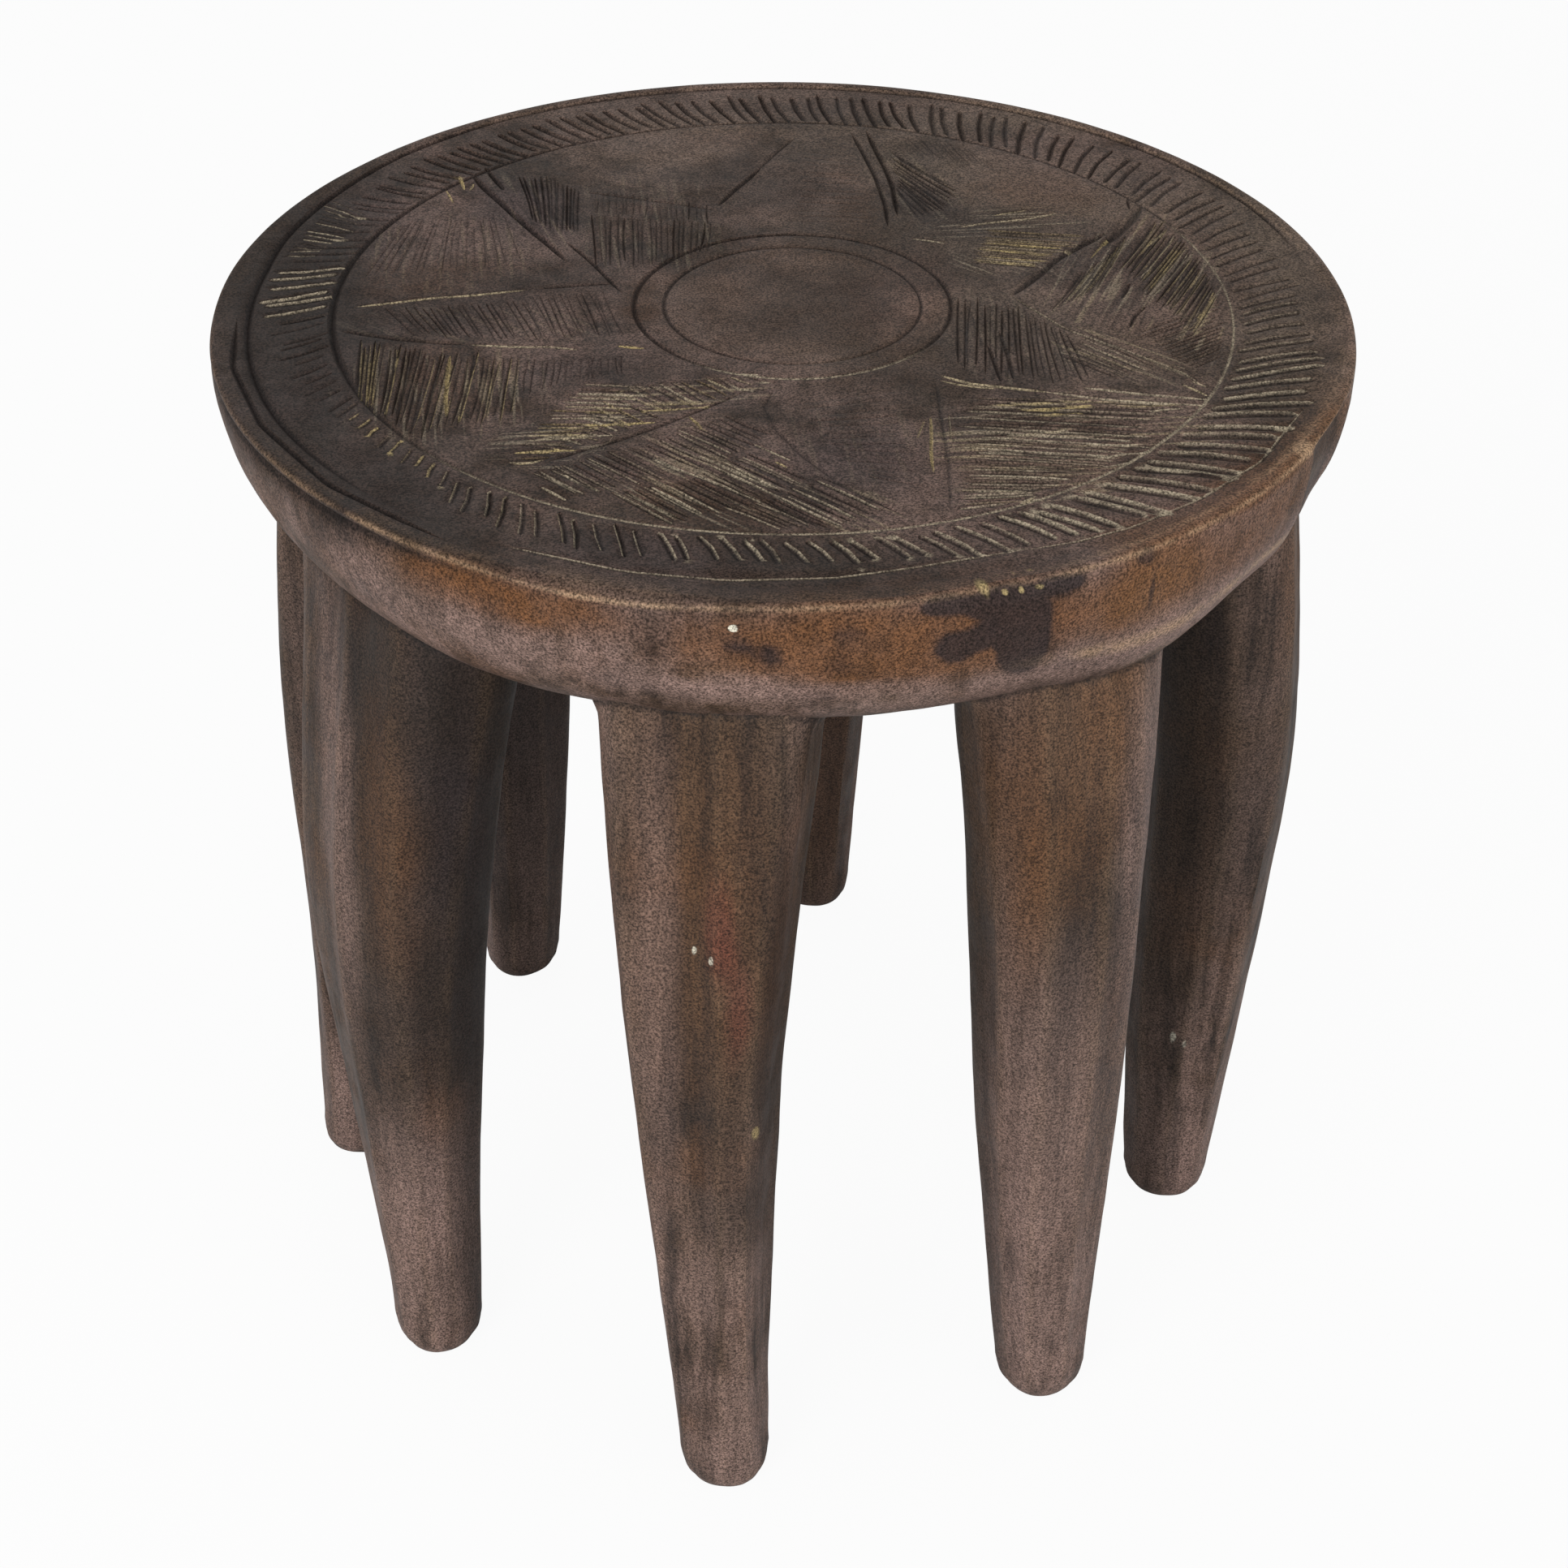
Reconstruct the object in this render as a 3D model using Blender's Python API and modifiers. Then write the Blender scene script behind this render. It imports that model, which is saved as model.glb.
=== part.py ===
"""Carved wooden stool: a thick round seat standing on eight curved legs.

Metres, +Z up, standing on z = 0 with the seat's axis on the Z axis. The front of the stool faces -Y.
The seat is turned from one profile, and a star with a border of leaning strokes is cut into its top,
each line as one tapering pull of a knife. Each leg is a loft from a broad, squarish head to a small round
foot, and its head is scribed to the rounded underside of the seat.
"""
import math

import bmesh
import bpy
from mathutils import Vector

# Overall
STOOL_HEIGHT = 0.403
SEAT_RADIUS = 0.200

# Seat: rim, rounded side and underside
SEAT_DEPTH = 0.066
SEAT_TUCK = 0.060
SEAT_BELLY = 0.004
RIM_ROUND = 0.003
LIP_WIDTH = 0.014
LIP_RISE = 0.001

# Seat: rings cut into the top
GROOVE_WIDTH = 0.0024
GROOVE_DEPTH = 0.0012
BORDER_WIDTH = 0.028
HUB_RADIUS = 0.056
HUB_BAND = 0.0106

# Seat: strokes of the border, and how many degrees they lean over from the star's ring to the lip
BORDER_STROKES = 154
BORDER_SKEW = 3.8

# Legs
LEG_INSET = 0.005
LEG_SWELL = 0.014
HEAD_WIDTH = 0.078
LEG_DEPTH = 0.046
FOOT_ROUND = 0.013

# Fits and working values
SEATING_GAP = 0.0003
MERGE_DISTANCE = 0.00001

# Forms, as shares of the sizes above
SIDE_FULLNESS_SHARE = 1.15
HEAD_TOP_SHARE = 0.60
FOOT_FLAT_SHARE = 0.62
KNIFE_LIFT_SHARE = 0.45

# The lines of the star, as places in shares of the seat's radius: where each is cut deepest, and where it ends
STAR_SHARES = (
    ((-0.580, 0.510), (-0.390, 0.165)),
    ((0.020, 0.725), (-0.125, 0.410)),
    ((0.155, 0.745), (0.212, 0.370)),
    ((0.640, 0.405), (0.405, 0.035)),
    ((0.700, -0.295), (0.405, 0.035)),
    ((0.680, -0.349), (0.261, -0.255)),
    ((0.267, -0.715), (0.261, -0.255)),
    ((0.190, -0.725), (0.010, -0.480)),
    ((-0.385, -0.565), (-0.060, -0.320)),
    ((-0.760, -0.020), (-0.320, 0.080)),
    ((-0.755, -0.112), (-0.345, -0.175)),
)

# One row per height up a leg: height, how far the outer face draws in, width, depth, and how square it is
LEG_FORM_SHARES = (
    (1.00, 1.00, 1.00, 0.98, 1.80),
    (0.80, 0.30, 0.84, 1.00, 1.60),
    (0.60, 0.00, 0.70, 0.98, 1.45),
    (0.35, 0.22, 0.57, 0.90, 1.30),
    (0.12, 0.40, 0.46, 0.77, 1.15),
    (0.00, 0.48, 0.42, 0.70, 1.10),
)

# One row per leg, counter-clockwise seen from above, starting at the front: name, turn of its head, middle
# and foot away from even spacing in degrees, then shares for its stoutness, its reach and its foot's reach
LEG_SHARES = (
    ("leg_front", -2.5, -3.0, -1.0, 1.00, 0.00, 0.35),
    ("leg_front_right", -6.3, -4.7, -1.0, 1.03, 0.00, -0.45),
    ("leg_right", 0.0, 0.0, -0.2, 1.21, 0.18, -0.48),
    ("leg_back_right", 1.0, 0.5, 0.5, 0.97, 0.00, 0.00),
    ("leg_back", -0.6, -0.5, 0.0, 1.02, 0.00, 0.75),
    ("leg_back_left", 2.0, 2.2, 3.0, 0.98, 0.00, 0.20),
    ("leg_left", 2.0, 2.3, 2.5, 1.00, -0.25, 0.55),
    ("leg_front_left", -1.6, -4.0, -1.3, 1.25, 0.10, 0.00),
)
RING_TURN = -5.0

# Facets
SEAT_SEGMENTS = 72
SIDE_STEPS = 9
LIP_STEPS = 3
SECTION_POINTS = 20
LEG_STEPS = 14
FOOT_STEPS = 3
SMOOTH_ANGLE = 35.0

# Colours: base colour and roughness
SEAT_COLOUR = (0.115, 0.068, 0.045, 1.0)
LEG_COLOUR = (0.085, 0.048, 0.036, 1.0)
WOOD_ROUGHNESS = 0.48


def clear_scene():
    for item in list(bpy.data.objects):
        bpy.data.objects.remove(item, do_unlink=True)


def new_collection(name):
    group = bpy.data.collections.new(name)
    bpy.context.scene.collection.children.link(group)
    return group


def new_object(name, group, verts, edges, faces):
    mesh = bpy.data.meshes.new(name)
    mesh.from_pydata(verts, edges, faces)
    mesh.update()
    item = bpy.data.objects.new(name, mesh)
    group.objects.link(item)
    return item


def wood_material(name, colour):
    material = bpy.data.materials.new(name)
    material.use_nodes = True
    shader = material.node_tree.nodes["Principled BSDF"]
    shader.inputs["Base Color"].default_value = colour
    shader.inputs["Roughness"].default_value = WOOD_ROUGHNESS
    shader.inputs["Metallic"].default_value = 0.0
    material.diffuse_color = colour
    return material


def smooth(item):
    item.data.shade_smooth()
    item.data.set_sharp_from_angle(angle=math.radians(SMOOTH_ANGLE))


def arc(centre_x, centre_z, run, drop, start, end, steps, fullness=1.0):
    """Points on a quarter ellipse, or a fuller curve of the same reach, from one angle to another."""
    points = []
    for step in range(steps + 1):
        angle = math.radians(start + (end - start) * step / steps)
        across = math.copysign(abs(math.cos(angle)) ** (1.0 / fullness), math.cos(angle))
        up = math.copysign(abs(math.sin(angle)) ** (1.0 / fullness), math.sin(angle))
        points.append((centre_x + run * across, centre_z + drop * up))
    return points


def underside_profile():
    """The seat's rounded side and underside, from below the rim to the axis, with z = 0 at the rim's top."""
    side_drop = SEAT_DEPTH - RIM_ROUND
    points = arc(SEAT_RADIUS - SEAT_TUCK, -RIM_ROUND, SEAT_TUCK, side_drop, 0.0, -90.0, SIDE_STEPS,
                 SIDE_FULLNESS_SHARE)
    edge = SEAT_RADIUS - SEAT_TUCK
    points.append((edge / 2, -SEAT_DEPTH - SEAT_BELLY * 3 / 4))
    points.append((0.0, -SEAT_DEPTH - SEAT_BELLY))
    return points


def ring_groove(radius, level):
    half = GROOVE_WIDTH / 2
    return [(radius - half, level), (radius, level - GROOVE_DEPTH), (radius + half, level)]


def top_profile():
    """The seat's top from the axis out over its four rings and the raised lip to the rounded rim."""
    lip_foot = SEAT_RADIUS - LIP_WIDTH
    crown = SEAT_RADIUS - RIM_ROUND
    field = -LIP_RISE
    points = [(0.0, field)]
    points += ring_groove(HUB_RADIUS - HUB_BAND, field)
    points += ring_groove(HUB_RADIUS, field)
    points += ring_groove(lip_foot - BORDER_WIDTH, field)
    points += ring_groove(lip_foot - GROOVE_WIDTH / 2, field)
    points += arc(crown, field, LIP_WIDTH - RIM_ROUND, LIP_RISE, 180.0, 90.0, LIP_STEPS)[1:]
    points += arc(crown, -RIM_ROUND, RIM_ROUND, RIM_ROUND, 90.0, 0.0, LIP_STEPS)[1:]
    return points


def offset_profile(points, distance):
    """Moves a profile out of the seat by a distance, square to each of its stretches."""
    moved = []
    for index, (x, z) in enumerate(points):
        before = points[max(index - 1, 0)]
        after = points[min(index + 1, len(points) - 1)]
        run = after[0] - before[0]
        fall = after[1] - before[1]
        length = math.hypot(run, fall)
        shift = 0.0 if x == 0.0 else -fall / length * distance
        moved.append((x + shift, z + run / length * distance))
    return moved


def turned(name, group, profile):
    """A body of revolution about Z, from a profile that runs from the axis at the top to it at the bottom."""
    verts = [(x, 0.0, z) for x, z in profile]
    edges = [(index, index + 1) for index in range(len(verts) - 1)]
    item = new_object(name, group, verts, edges, [])
    screw = item.modifiers.new("turn", 'SCREW')
    screw.axis = 'Z'
    screw.angle = math.tau
    screw.steps = SEAT_SEGMENTS
    screw.render_steps = SEAT_SEGMENTS
    screw.use_merge_vertices = True
    screw.merge_threshold = MERGE_DISTANCE
    return item


def knife_mesh():
    """A bar of unit length with an edge below, which lifts out of the wood towards its far end."""
    form = bmesh.new()
    bmesh.ops.create_cone(form, cap_ends=True, segments=4, radius1=1.0, radius2=KNIFE_LIFT_SHARE, depth=1.0)
    mesh = bpy.data.meshes.new("knife")
    form.to_mesh(mesh)
    form.free()
    return mesh


def lay_knife(name, mesh, start, end, group):
    """Lays a knife on the field of the seat, to cut one line from its deep start to its end."""
    run = end - start
    middle = (start + end) / 2
    knife = bpy.data.objects.new(name, mesh)
    knife.location = (middle.x, middle.y, STOOL_HEIGHT - LIP_RISE)
    knife.rotation_euler = (0.0, math.radians(90.0), math.atan2(run.y, run.x))
    knife.scale = (GROOVE_DEPTH, GROOVE_WIDTH / 2, run.length)
    knife.hide_render = True
    knife.display_type = 'WIRE'
    group.objects.link(knife)


def lay_star(mesh, group):
    for index, (start, end) in enumerate(STAR_SHARES):
        lay_knife(f"star_knife_{index}", mesh, Vector(start) * SEAT_RADIUS, Vector(end) * SEAT_RADIUS, group)


def lay_border(mesh, group):
    """The strokes between the star's ring and the lip, each clear of both rings by a groove's width."""
    lip_foot = SEAT_RADIUS - LIP_WIDTH
    inner = lip_foot - BORDER_WIDTH + GROOVE_WIDTH
    outer = lip_foot - GROOVE_WIDTH * 2
    for index in range(BORDER_STROKES):
        turn = math.tau * index / BORDER_STROKES
        over = turn + math.radians(BORDER_SKEW)
        start = Vector((outer * math.cos(over), outer * math.sin(over)))
        end = Vector((inner * math.cos(turn), inner * math.sin(turn)))
        lay_knife(f"border_knife_{index}", mesh, start, end, group)


def make_seat(group, cutters):
    """The turned seat, with the star and its border cut into the top."""
    seat = turned("seat", group, top_profile() + underside_profile()[1:])
    seat.location.z = STOOL_HEIGHT
    knives = bpy.data.collections.new("knives")
    cutters.children.link(knives)
    mesh = knife_mesh()
    lay_star(mesh, knives)
    lay_border(mesh, knives)
    carve = seat.modifiers.new("carve", 'BOOLEAN')
    carve.operation = 'DIFFERENCE'
    carve.operand_type = 'COLLECTION'
    carve.collection = knives
    seat.data.materials.append(wood_material("seat_wood", SEAT_COLOUR))
    return seat


def make_scribe(group):
    """The seat's side and underside, one seating gap larger, which cuts the heads of the legs."""
    profile = [(0.0, 0.0), (SEAT_RADIUS + SEATING_GAP, 0.0)]
    profile += offset_profile(underside_profile(), SEATING_GAP)
    scribe = turned("scribe", group, profile)
    scribe.location.z = STOOL_HEIGHT
    scribe.hide_render = True
    scribe.display_type = 'WIRE'
    return scribe


def leg_form(height_share):
    """The row of LEG_FORM_SHARES at a height, read from a smooth curve through the rows."""
    rows = LEG_FORM_SHARES
    low = next((index for index in range(1, len(rows)) if rows[index][0] <= height_share), len(rows) - 1)
    high = low - 1

    def slope(index, column):
        before = rows[max(index - 1, 0)]
        after = rows[min(index + 1, len(rows) - 1)]
        return (after[column] - before[column]) / (after[0] - before[0])

    span = rows[high][0] - rows[low][0]
    t = (height_share - rows[low][0]) / span
    values = []
    for column in range(1, len(rows[0])):
        start = rows[low][column]
        end = rows[high][column]
        rise_start = slope(low, column) * span
        rise_end = slope(high, column) * span
        cubic = (2 * t ** 3 - 3 * t ** 2 + 1) * start + (t ** 3 - 2 * t ** 2 + t) * rise_start
        values.append(cubic + (3 * t ** 2 - 2 * t ** 3) * end + (t ** 3 - t ** 2) * rise_end)
    return values


def section(half_width, half_depth, middle, squareness):
    """One closed outline of a leg: x runs across the leg and y out from the stool's axis."""
    points = []
    for index in range(SECTION_POINTS):
        angle = math.tau * index / SECTION_POINTS
        across = math.copysign(abs(math.cos(angle)) ** (1.0 / squareness), math.cos(angle))
        out = math.copysign(abs(math.sin(angle)) ** (1.0 / squareness), math.sin(angle))
        points.append((half_width * across, middle + half_depth * out))
    return points


def leg_heights(length):
    """Heights of a leg's sections: close together round the foot, then even up to the head."""
    heights = []
    for step in range(FOOT_STEPS):
        heights.append(FOOT_ROUND * (1.0 - math.cos(math.radians(90.0 * step / FOOT_STEPS))))
    for step in range(LEG_STEPS + 1):
        heights.append(FOOT_ROUND + (length - FOOT_ROUND) * step / LEG_STEPS)
    return heights


def foot_draw(height):
    """How much of its full section a foot keeps, drawn in along a quarter round to the flat it stands on."""
    if height >= FOOT_ROUND:
        return 1.0
    rise = 1.0 - height / FOOT_ROUND
    return FOOT_FLAT_SHARE + (1.0 - FOOT_FLAT_SHARE) * math.sqrt(1.0 - rise * rise)


def leg_turn(share, head, middle, foot):
    """The angle of a leg's section at a height share, on the parabola through its three turns."""
    return foot * (1 - share) * (1 - 2 * share) + 4 * middle * share * (1 - share) + head * share * (2 * share - 1)


def leg_mesh(name, group, turns, stout_share, reach_share, foot_reach_share):
    """One leg in the frame of its own angle, with y out from the stool's axis."""
    length = STOOL_HEIGHT - SEAT_DEPTH * HEAD_TOP_SHARE
    heights = leg_heights(length)
    verts = []
    for height in heights:
        share = height / length
        draw_in, width, depth, squareness = leg_form(share)
        reach = reach_share * 4 * share * (1 - share) + foot_reach_share * (1 - share) ** 2
        outer = SEAT_RADIUS - LEG_INSET - LEG_SWELL * (draw_in - reach)
        stout = 1 + (stout_share - 1) * math.sqrt(share)
        half_depth = LEG_DEPTH * depth * stout / 2
        half_width = HEAD_WIDTH * width * stout / 2
        keep = foot_draw(height)
        turn = math.radians(leg_turn(share, *turns))
        for x, y in section(half_width * keep, half_depth * keep, outer - half_depth, squareness):
            across = x * math.cos(turn) - y * math.sin(turn)
            out = x * math.sin(turn) + y * math.cos(turn)
            verts.append((across, out, height))
    count = SECTION_POINTS
    faces = [tuple(reversed(range(count)))]
    for ring in range(len(heights) - 1):
        base = ring * count
        for index in range(count):
            after = (index + 1) % count
            faces.append((base + index, base + after, base + count + after, base + count + index))
    faces.append(tuple(range(len(verts) - count, len(verts))))
    return new_object(name, group, verts, [], faces)


def make_leg(index, row, group, scribe):
    name = row[0]
    leg = leg_mesh(name, group, row[1:4], *row[4:])
    around = 180.0 + RING_TURN + 360.0 * index / len(LEG_SHARES)
    leg.rotation_euler.z = math.radians(around)
    cut = leg.modifiers.new("scribe", 'BOOLEAN')
    cut.operation = 'DIFFERENCE'
    cut.object = scribe
    leg.data.materials.append(wood_material(name + "_wood", LEG_COLOUR))
    return leg


def make_stool():
    clear_scene()
    parts = new_collection("carved_stool")
    cutters = new_collection("cutters")
    stool = bpy.data.objects.new("stool", None)
    parts.objects.link(stool)
    seat = make_seat(parts, cutters)
    scribe = make_scribe(cutters)
    legs = [make_leg(index, row, parts, scribe) for index, row in enumerate(LEG_SHARES)]
    for item in [seat] + legs:
        item.parent = stool
        smooth(item)


make_stool()
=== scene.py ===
"""Looks of a carved wooden stool: a round seat with an incised star, on a ring of eight hewn legs.

Metres, +Z up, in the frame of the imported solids. The seat and each leg is one carved mesh that stands
for its solid. Places on the seat are shares of its radius: x to the right, y away from the viewer.
"""

import math

import bmesh
import bpy
import numpy as np
from bpy.props import FloatProperty, FloatVectorProperty, IntProperty, PointerProperty
from mathutils import Matrix, Vector, geometry, noise


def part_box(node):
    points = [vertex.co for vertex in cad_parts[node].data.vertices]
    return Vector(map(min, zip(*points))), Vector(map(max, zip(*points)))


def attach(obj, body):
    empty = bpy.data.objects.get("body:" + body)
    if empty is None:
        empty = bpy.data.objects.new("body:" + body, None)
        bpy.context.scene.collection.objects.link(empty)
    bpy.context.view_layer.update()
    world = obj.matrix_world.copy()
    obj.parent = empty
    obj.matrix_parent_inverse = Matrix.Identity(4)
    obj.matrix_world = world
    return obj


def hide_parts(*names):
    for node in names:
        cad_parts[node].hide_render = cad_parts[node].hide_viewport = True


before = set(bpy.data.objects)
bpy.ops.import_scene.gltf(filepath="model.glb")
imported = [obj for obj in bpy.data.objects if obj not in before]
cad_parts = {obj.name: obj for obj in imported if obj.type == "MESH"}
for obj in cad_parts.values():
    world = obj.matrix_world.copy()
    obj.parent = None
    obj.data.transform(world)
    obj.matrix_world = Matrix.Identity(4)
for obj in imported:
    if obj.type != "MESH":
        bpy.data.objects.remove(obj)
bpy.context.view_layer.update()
SEAT_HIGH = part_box("seat")[1]
RIM_TOP = SEAT_HIGH.z
RADIUS = SEAT_HIGH.x
PHOTO_PIXELS = 1932
SENSOR_MM = 36.0
MM = 0.001
CARVING_SEED = 11
FILLER_SEED = 5
PATCH_SEED = 4

bl_info = {
    "name": "Carved wooden stool",
    "version": (1, 0, 0),
    "blender": (4, 5, 0),
    "location": "View3D > Sidebar > Stool",
    "description": "Dresses the solids of a carved wooden stool with its carving, wood and light",
    "category": "Object",
}

# Lines of the star: points, then width, depth, pale dust and yellow dust as shares of the full ones
STAR_SHARES = (
    (((-0.60, 0.54), (-0.57, 0.475), (-0.53, 0.405), (-0.50, 0.35), (-0.46, 0.28), (-0.42, 0.215),
      (-0.39, 0.155)), 1.9, 1.8, 0.0, 0.0),
    (((-0.40, 0.245), (-0.37, 0.195), (-0.345, 0.15), (-0.315, 0.09), (-0.285, 0.035)), 1.1, 1.0, 0.0, 0.0),
    (((-0.575, 0.565), (-0.555, 0.515), (-0.53, 0.462)), 1.4, 1.5, 0.0, 0.0),
    (((0.02, 0.715), (-0.01, 0.655), (-0.05, 0.565)), 1.1, 0.6, 0.0, 0.0),
    (((-0.045, 0.575), (-0.07, 0.52), (-0.093, 0.475), (-0.125, 0.40)), 1.4, 1.2, 0.0, 0.0),
    (((0.13, 0.745), (0.15, 0.66), (0.174, 0.54), (0.19, 0.41), (0.193, 0.31)), 1.3, 1.2, 0.0, 0.0),
    (((0.16, 0.755), (0.177, 0.66), (0.195, 0.565), (0.205, 0.495), (0.212, 0.36)), 1.5, 1.6, 0.0, 0.0),
    (((0.675, 0.425), (0.65, 0.355), (0.615, 0.29), (0.575, 0.235)), 2.6, 1.4, 0.0, 0.0),
    (((0.60, 0.30), (0.55, 0.25), (0.497, 0.19), (0.465, 0.13), (0.433, 0.08), (0.40, 0.03)),
     2.2, 1.4, 0.0, 0.0),
    (((0.65, 0.46), (0.648, 0.40)), 1.0, 1.0, 0.0, 0.0),
    (((0.595, 0.275), (0.575, 0.23), (0.558, 0.19)), 1.0, 0.4, 0.3, 0.8),
    (((0.40, 0.04), (0.449, -0.03), (0.49, -0.09), (0.57, -0.153), (0.62, -0.195), (0.68, -0.25),
      (0.715, -0.31)), 1.2, 0.7, 0.45, 0.1),
    (((0.262, -0.262), (0.315, -0.295), (0.395, -0.313), (0.45, -0.323)), 1.7, 1.1, 0.9, 0.4),
    (((0.44, -0.322), (0.545, -0.350), (0.63, -0.36), (0.71, -0.367)), 1.5, 1.1, 0.9, 0.2),
    (((0.50, -0.305), (0.61, -0.33), (0.715, -0.346)), 1.6, 1.2, 1.0, 0.1),
    (((0.265, -0.283), (0.31, -0.305), (0.36, -0.312)), 1.3, 0.9, 0.6, 0.4),
    (((0.672, -0.29), (0.712, -0.333)), 1.4, 0.9, 0.9, 0.4),
    (((0.69, -0.28), (0.715, -0.30)), 1.1, 0.7, 0.6, 0.3),
    (((0.258, -0.27), (0.262, -0.40), (0.268, -0.55), (0.266, -0.73)), 1.5, 0.55, 0.0, 0.0),
    (((0.275, -0.40), (0.275, -0.49)), 0.8, 0.5, 0.6, 0.0),
    (((-0.01, -0.30), (-0.03, -0.38), (-0.01, -0.46), (0.03, -0.54), (0.09, -0.63), (0.20, -0.74)),
     1.3, 0.5, 0.0, 0.0),
    (((-0.06, -0.325), (-0.127, -0.385), (-0.20, -0.449), (-0.27, -0.502), (-0.32, -0.53), (-0.385, -0.575)),
     1.3, 0.7, 0.0, 0.0),
    (((-0.76, -0.03), (-0.70, -0.015), (-0.62, 0.009), (-0.555, 0.019), (-0.449, 0.047)),
     1.5, 1.0, 0.75, 0.4),
    (((-0.44, 0.05), (-0.37, 0.065), (-0.30, 0.075)), 1.2, 0.6, 0.1, 0.0),
    (((-0.77, -0.12), (-0.66, -0.15), (-0.545, -0.168)), 1.2, 0.8, 0.1, 0.1),
    (((-0.545, -0.168), (-0.45, -0.175), (-0.40, -0.172), (-0.345, -0.185)), 1.4, 1.0, 0.7, 0.3),
    (((-0.285, -0.168), (-0.238, -0.175)), 1.8, 0.8, 0.2, 1.0),
    (((-0.38, 0.46), (-0.20, 0.41), (-0.12, 0.38)), 0.9, 0.5, 0.1, 0.0),
    (((0.32, 0.315), (0.37, 0.335), (0.45, 0.355), (0.515, 0.382)), 1.4, 0.7, 0.85, 0.3),
    (((0.39, 0.368), (0.455, 0.392)), 1.3, 0.7, 0.7, 0.4),
    (((0.235, 0.266), (0.295, 0.248)), 1.3, 0.7, 0.9, 0.1),
    (((0.245, -0.405), (0.244, -0.48), (0.241, -0.54), (0.243, -0.60)), 1.3, 0.5, 0.1, 1.0),
    (((0.235, -0.42), (0.22, -0.485)), 0.9, 0.4, 0.5, 0.5),
    (((-0.383, -0.651), (-0.34, -0.694)), 1.4, 0.8, 1.0, 0.2),
    (((-0.348, -0.612), (-0.33, -0.634)), 1.1, 0.5, 0.8, 0.0),
    (((-0.155, -0.415), (-0.145, -0.43), (-0.132, -0.458)), 1.4, 0.6, 0.2, 1.0),
    (((-0.207, -0.56), (-0.165, -0.595), (-0.118, -0.627)), 1.3, 0.8, 0.9, 0.0),
    (((-0.14, -0.543), (-0.08, -0.595), (-0.02, -0.645)), 1.3, 0.9, 0.9, 0.0),
    (((-0.09, -0.60), (-0.055, -0.63)), 1.0, 0.7, 0.7, 0.0),
    (((-0.047, -0.507), (-0.01, -0.54), (0.015, -0.562)), 1.1, 0.7, 0.8, 0.2),
    (((-0.012, -0.565), (0.008, -0.585)), 1.1, 0.6, 0.6, 0.6),
    (((-0.569, -0.205), (-0.567, -0.30), (-0.562, -0.36), (-0.556, -0.425)), 1.3, 0.8, 0.3, 1.0),
    (((-0.437, -0.545), (-0.385, -0.537), (-0.333, -0.532)), 1.6, 0.9, 0.6, 0.9),
    (((-0.44, -0.575), (-0.40, -0.575)), 1.2, 0.8, 0.6, 0.3),
    (((-0.32, -0.449), (-0.27, -0.443), (-0.205, -0.436)), 1.5, 0.9, 0.6, 0.8),
    (((-0.393, -0.489), (-0.34, -0.484), (-0.275, -0.48)), 1.2, 0.8, 0.8, 0.2),
    (((-0.345, -0.343), (-0.26, -0.337)), 1.2, 0.8, 0.8, 0.2),
    (((-0.24, -0.398), (-0.18, -0.393), (-0.12, -0.380)), 1.2, 0.8, 0.5, 0.6),
    (((-0.235, -0.378), (-0.16, -0.373), (-0.11, -0.368)), 1.1, 0.8, 0.4, 0.4),
    (((-0.085, -0.265), (-0.04, -0.267)), 1.1, 0.6, 0.7, 0.0),
    (((-0.04, -0.297), (-0.02, -0.297)), 1.3, 0.5, 0.8, 0.0),
    (((-0.075, -0.322), (-0.055, -0.322)), 1.7, 0.6, 1.0, 0.1),
    (((-0.62, 0.525), (-0.605, 0.46)), 1.5, 0.4, 0.5, 0.9),
    (((-0.64, 0.46), (-0.62, 0.40)), 1.2, 0.3, 0.3, 0.7),
    (((-0.59, 0.49), (-0.595, 0.46)), 1.2, 0.3, 0.6, 0.7),
    (((0.361, -0.473), (0.42, -0.463), (0.473, -0.453)), 1.2, 0.8, 0.8, 0.3),
    (((0.51, -0.545), (0.555, -0.532), (0.60, -0.524)), 1.4, 0.8, 0.9, 0.0),
    (((0.52, -0.575), (0.57, -0.555)), 1.1, 0.8, 0.6, 0.0),
    (((0.50, -0.503), (0.60, -0.497)), 1.1, 0.8, 0.6, 0.2),
    (((0.356, -0.369), (0.44, -0.361), (0.521, -0.352)), 1.3, 0.8, 0.7, 0.6),
    (((0.40, -0.385), (0.46, -0.379), (0.52, -0.366)), 1.3, 0.8, 0.4, 0.9),
    (((0.43, -0.403), (0.50, -0.393)), 1.4, 0.8, 0.3, 1.0),
    (((0.55, -0.368), (0.60, -0.372), (0.66, -0.362)), 1.2, 0.8, 0.5, 0.5),
    (((0.61, -0.388), (0.67, -0.376)), 1.2, 0.8, 0.9, 0.2),
    (((0.40, -0.67), (0.38, -0.688)), 1.6, 0.6, 0.9, 0.4),
    (((0.71, 0.315), (0.68, 0.27), (0.66, 0.235)), 1.0, 0.6, 0.6, 0.4),
    (((0.735, 0.235), (0.71, 0.18), (0.68, 0.115)), 1.0, 0.6, 0.6, 0.4),
    (((0.64, 0.0), (0.61, -0.05), (0.605, -0.08)), 1.3, 1.1, 0.0, 0.0),
    (((0.62, 0.09), (0.60, 0.03)), 1.3, 1.0, 0.0, 0.0),
    (((0.353, -0.15), (0.362, -0.22), (0.369, -0.287)), 1.3, 1.2, 0.0, 0.0),
    (((0.375, -0.10), (0.385, -0.20), (0.39, -0.28)), 1.2, 1.0, 0.0, 0.0),
)

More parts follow.
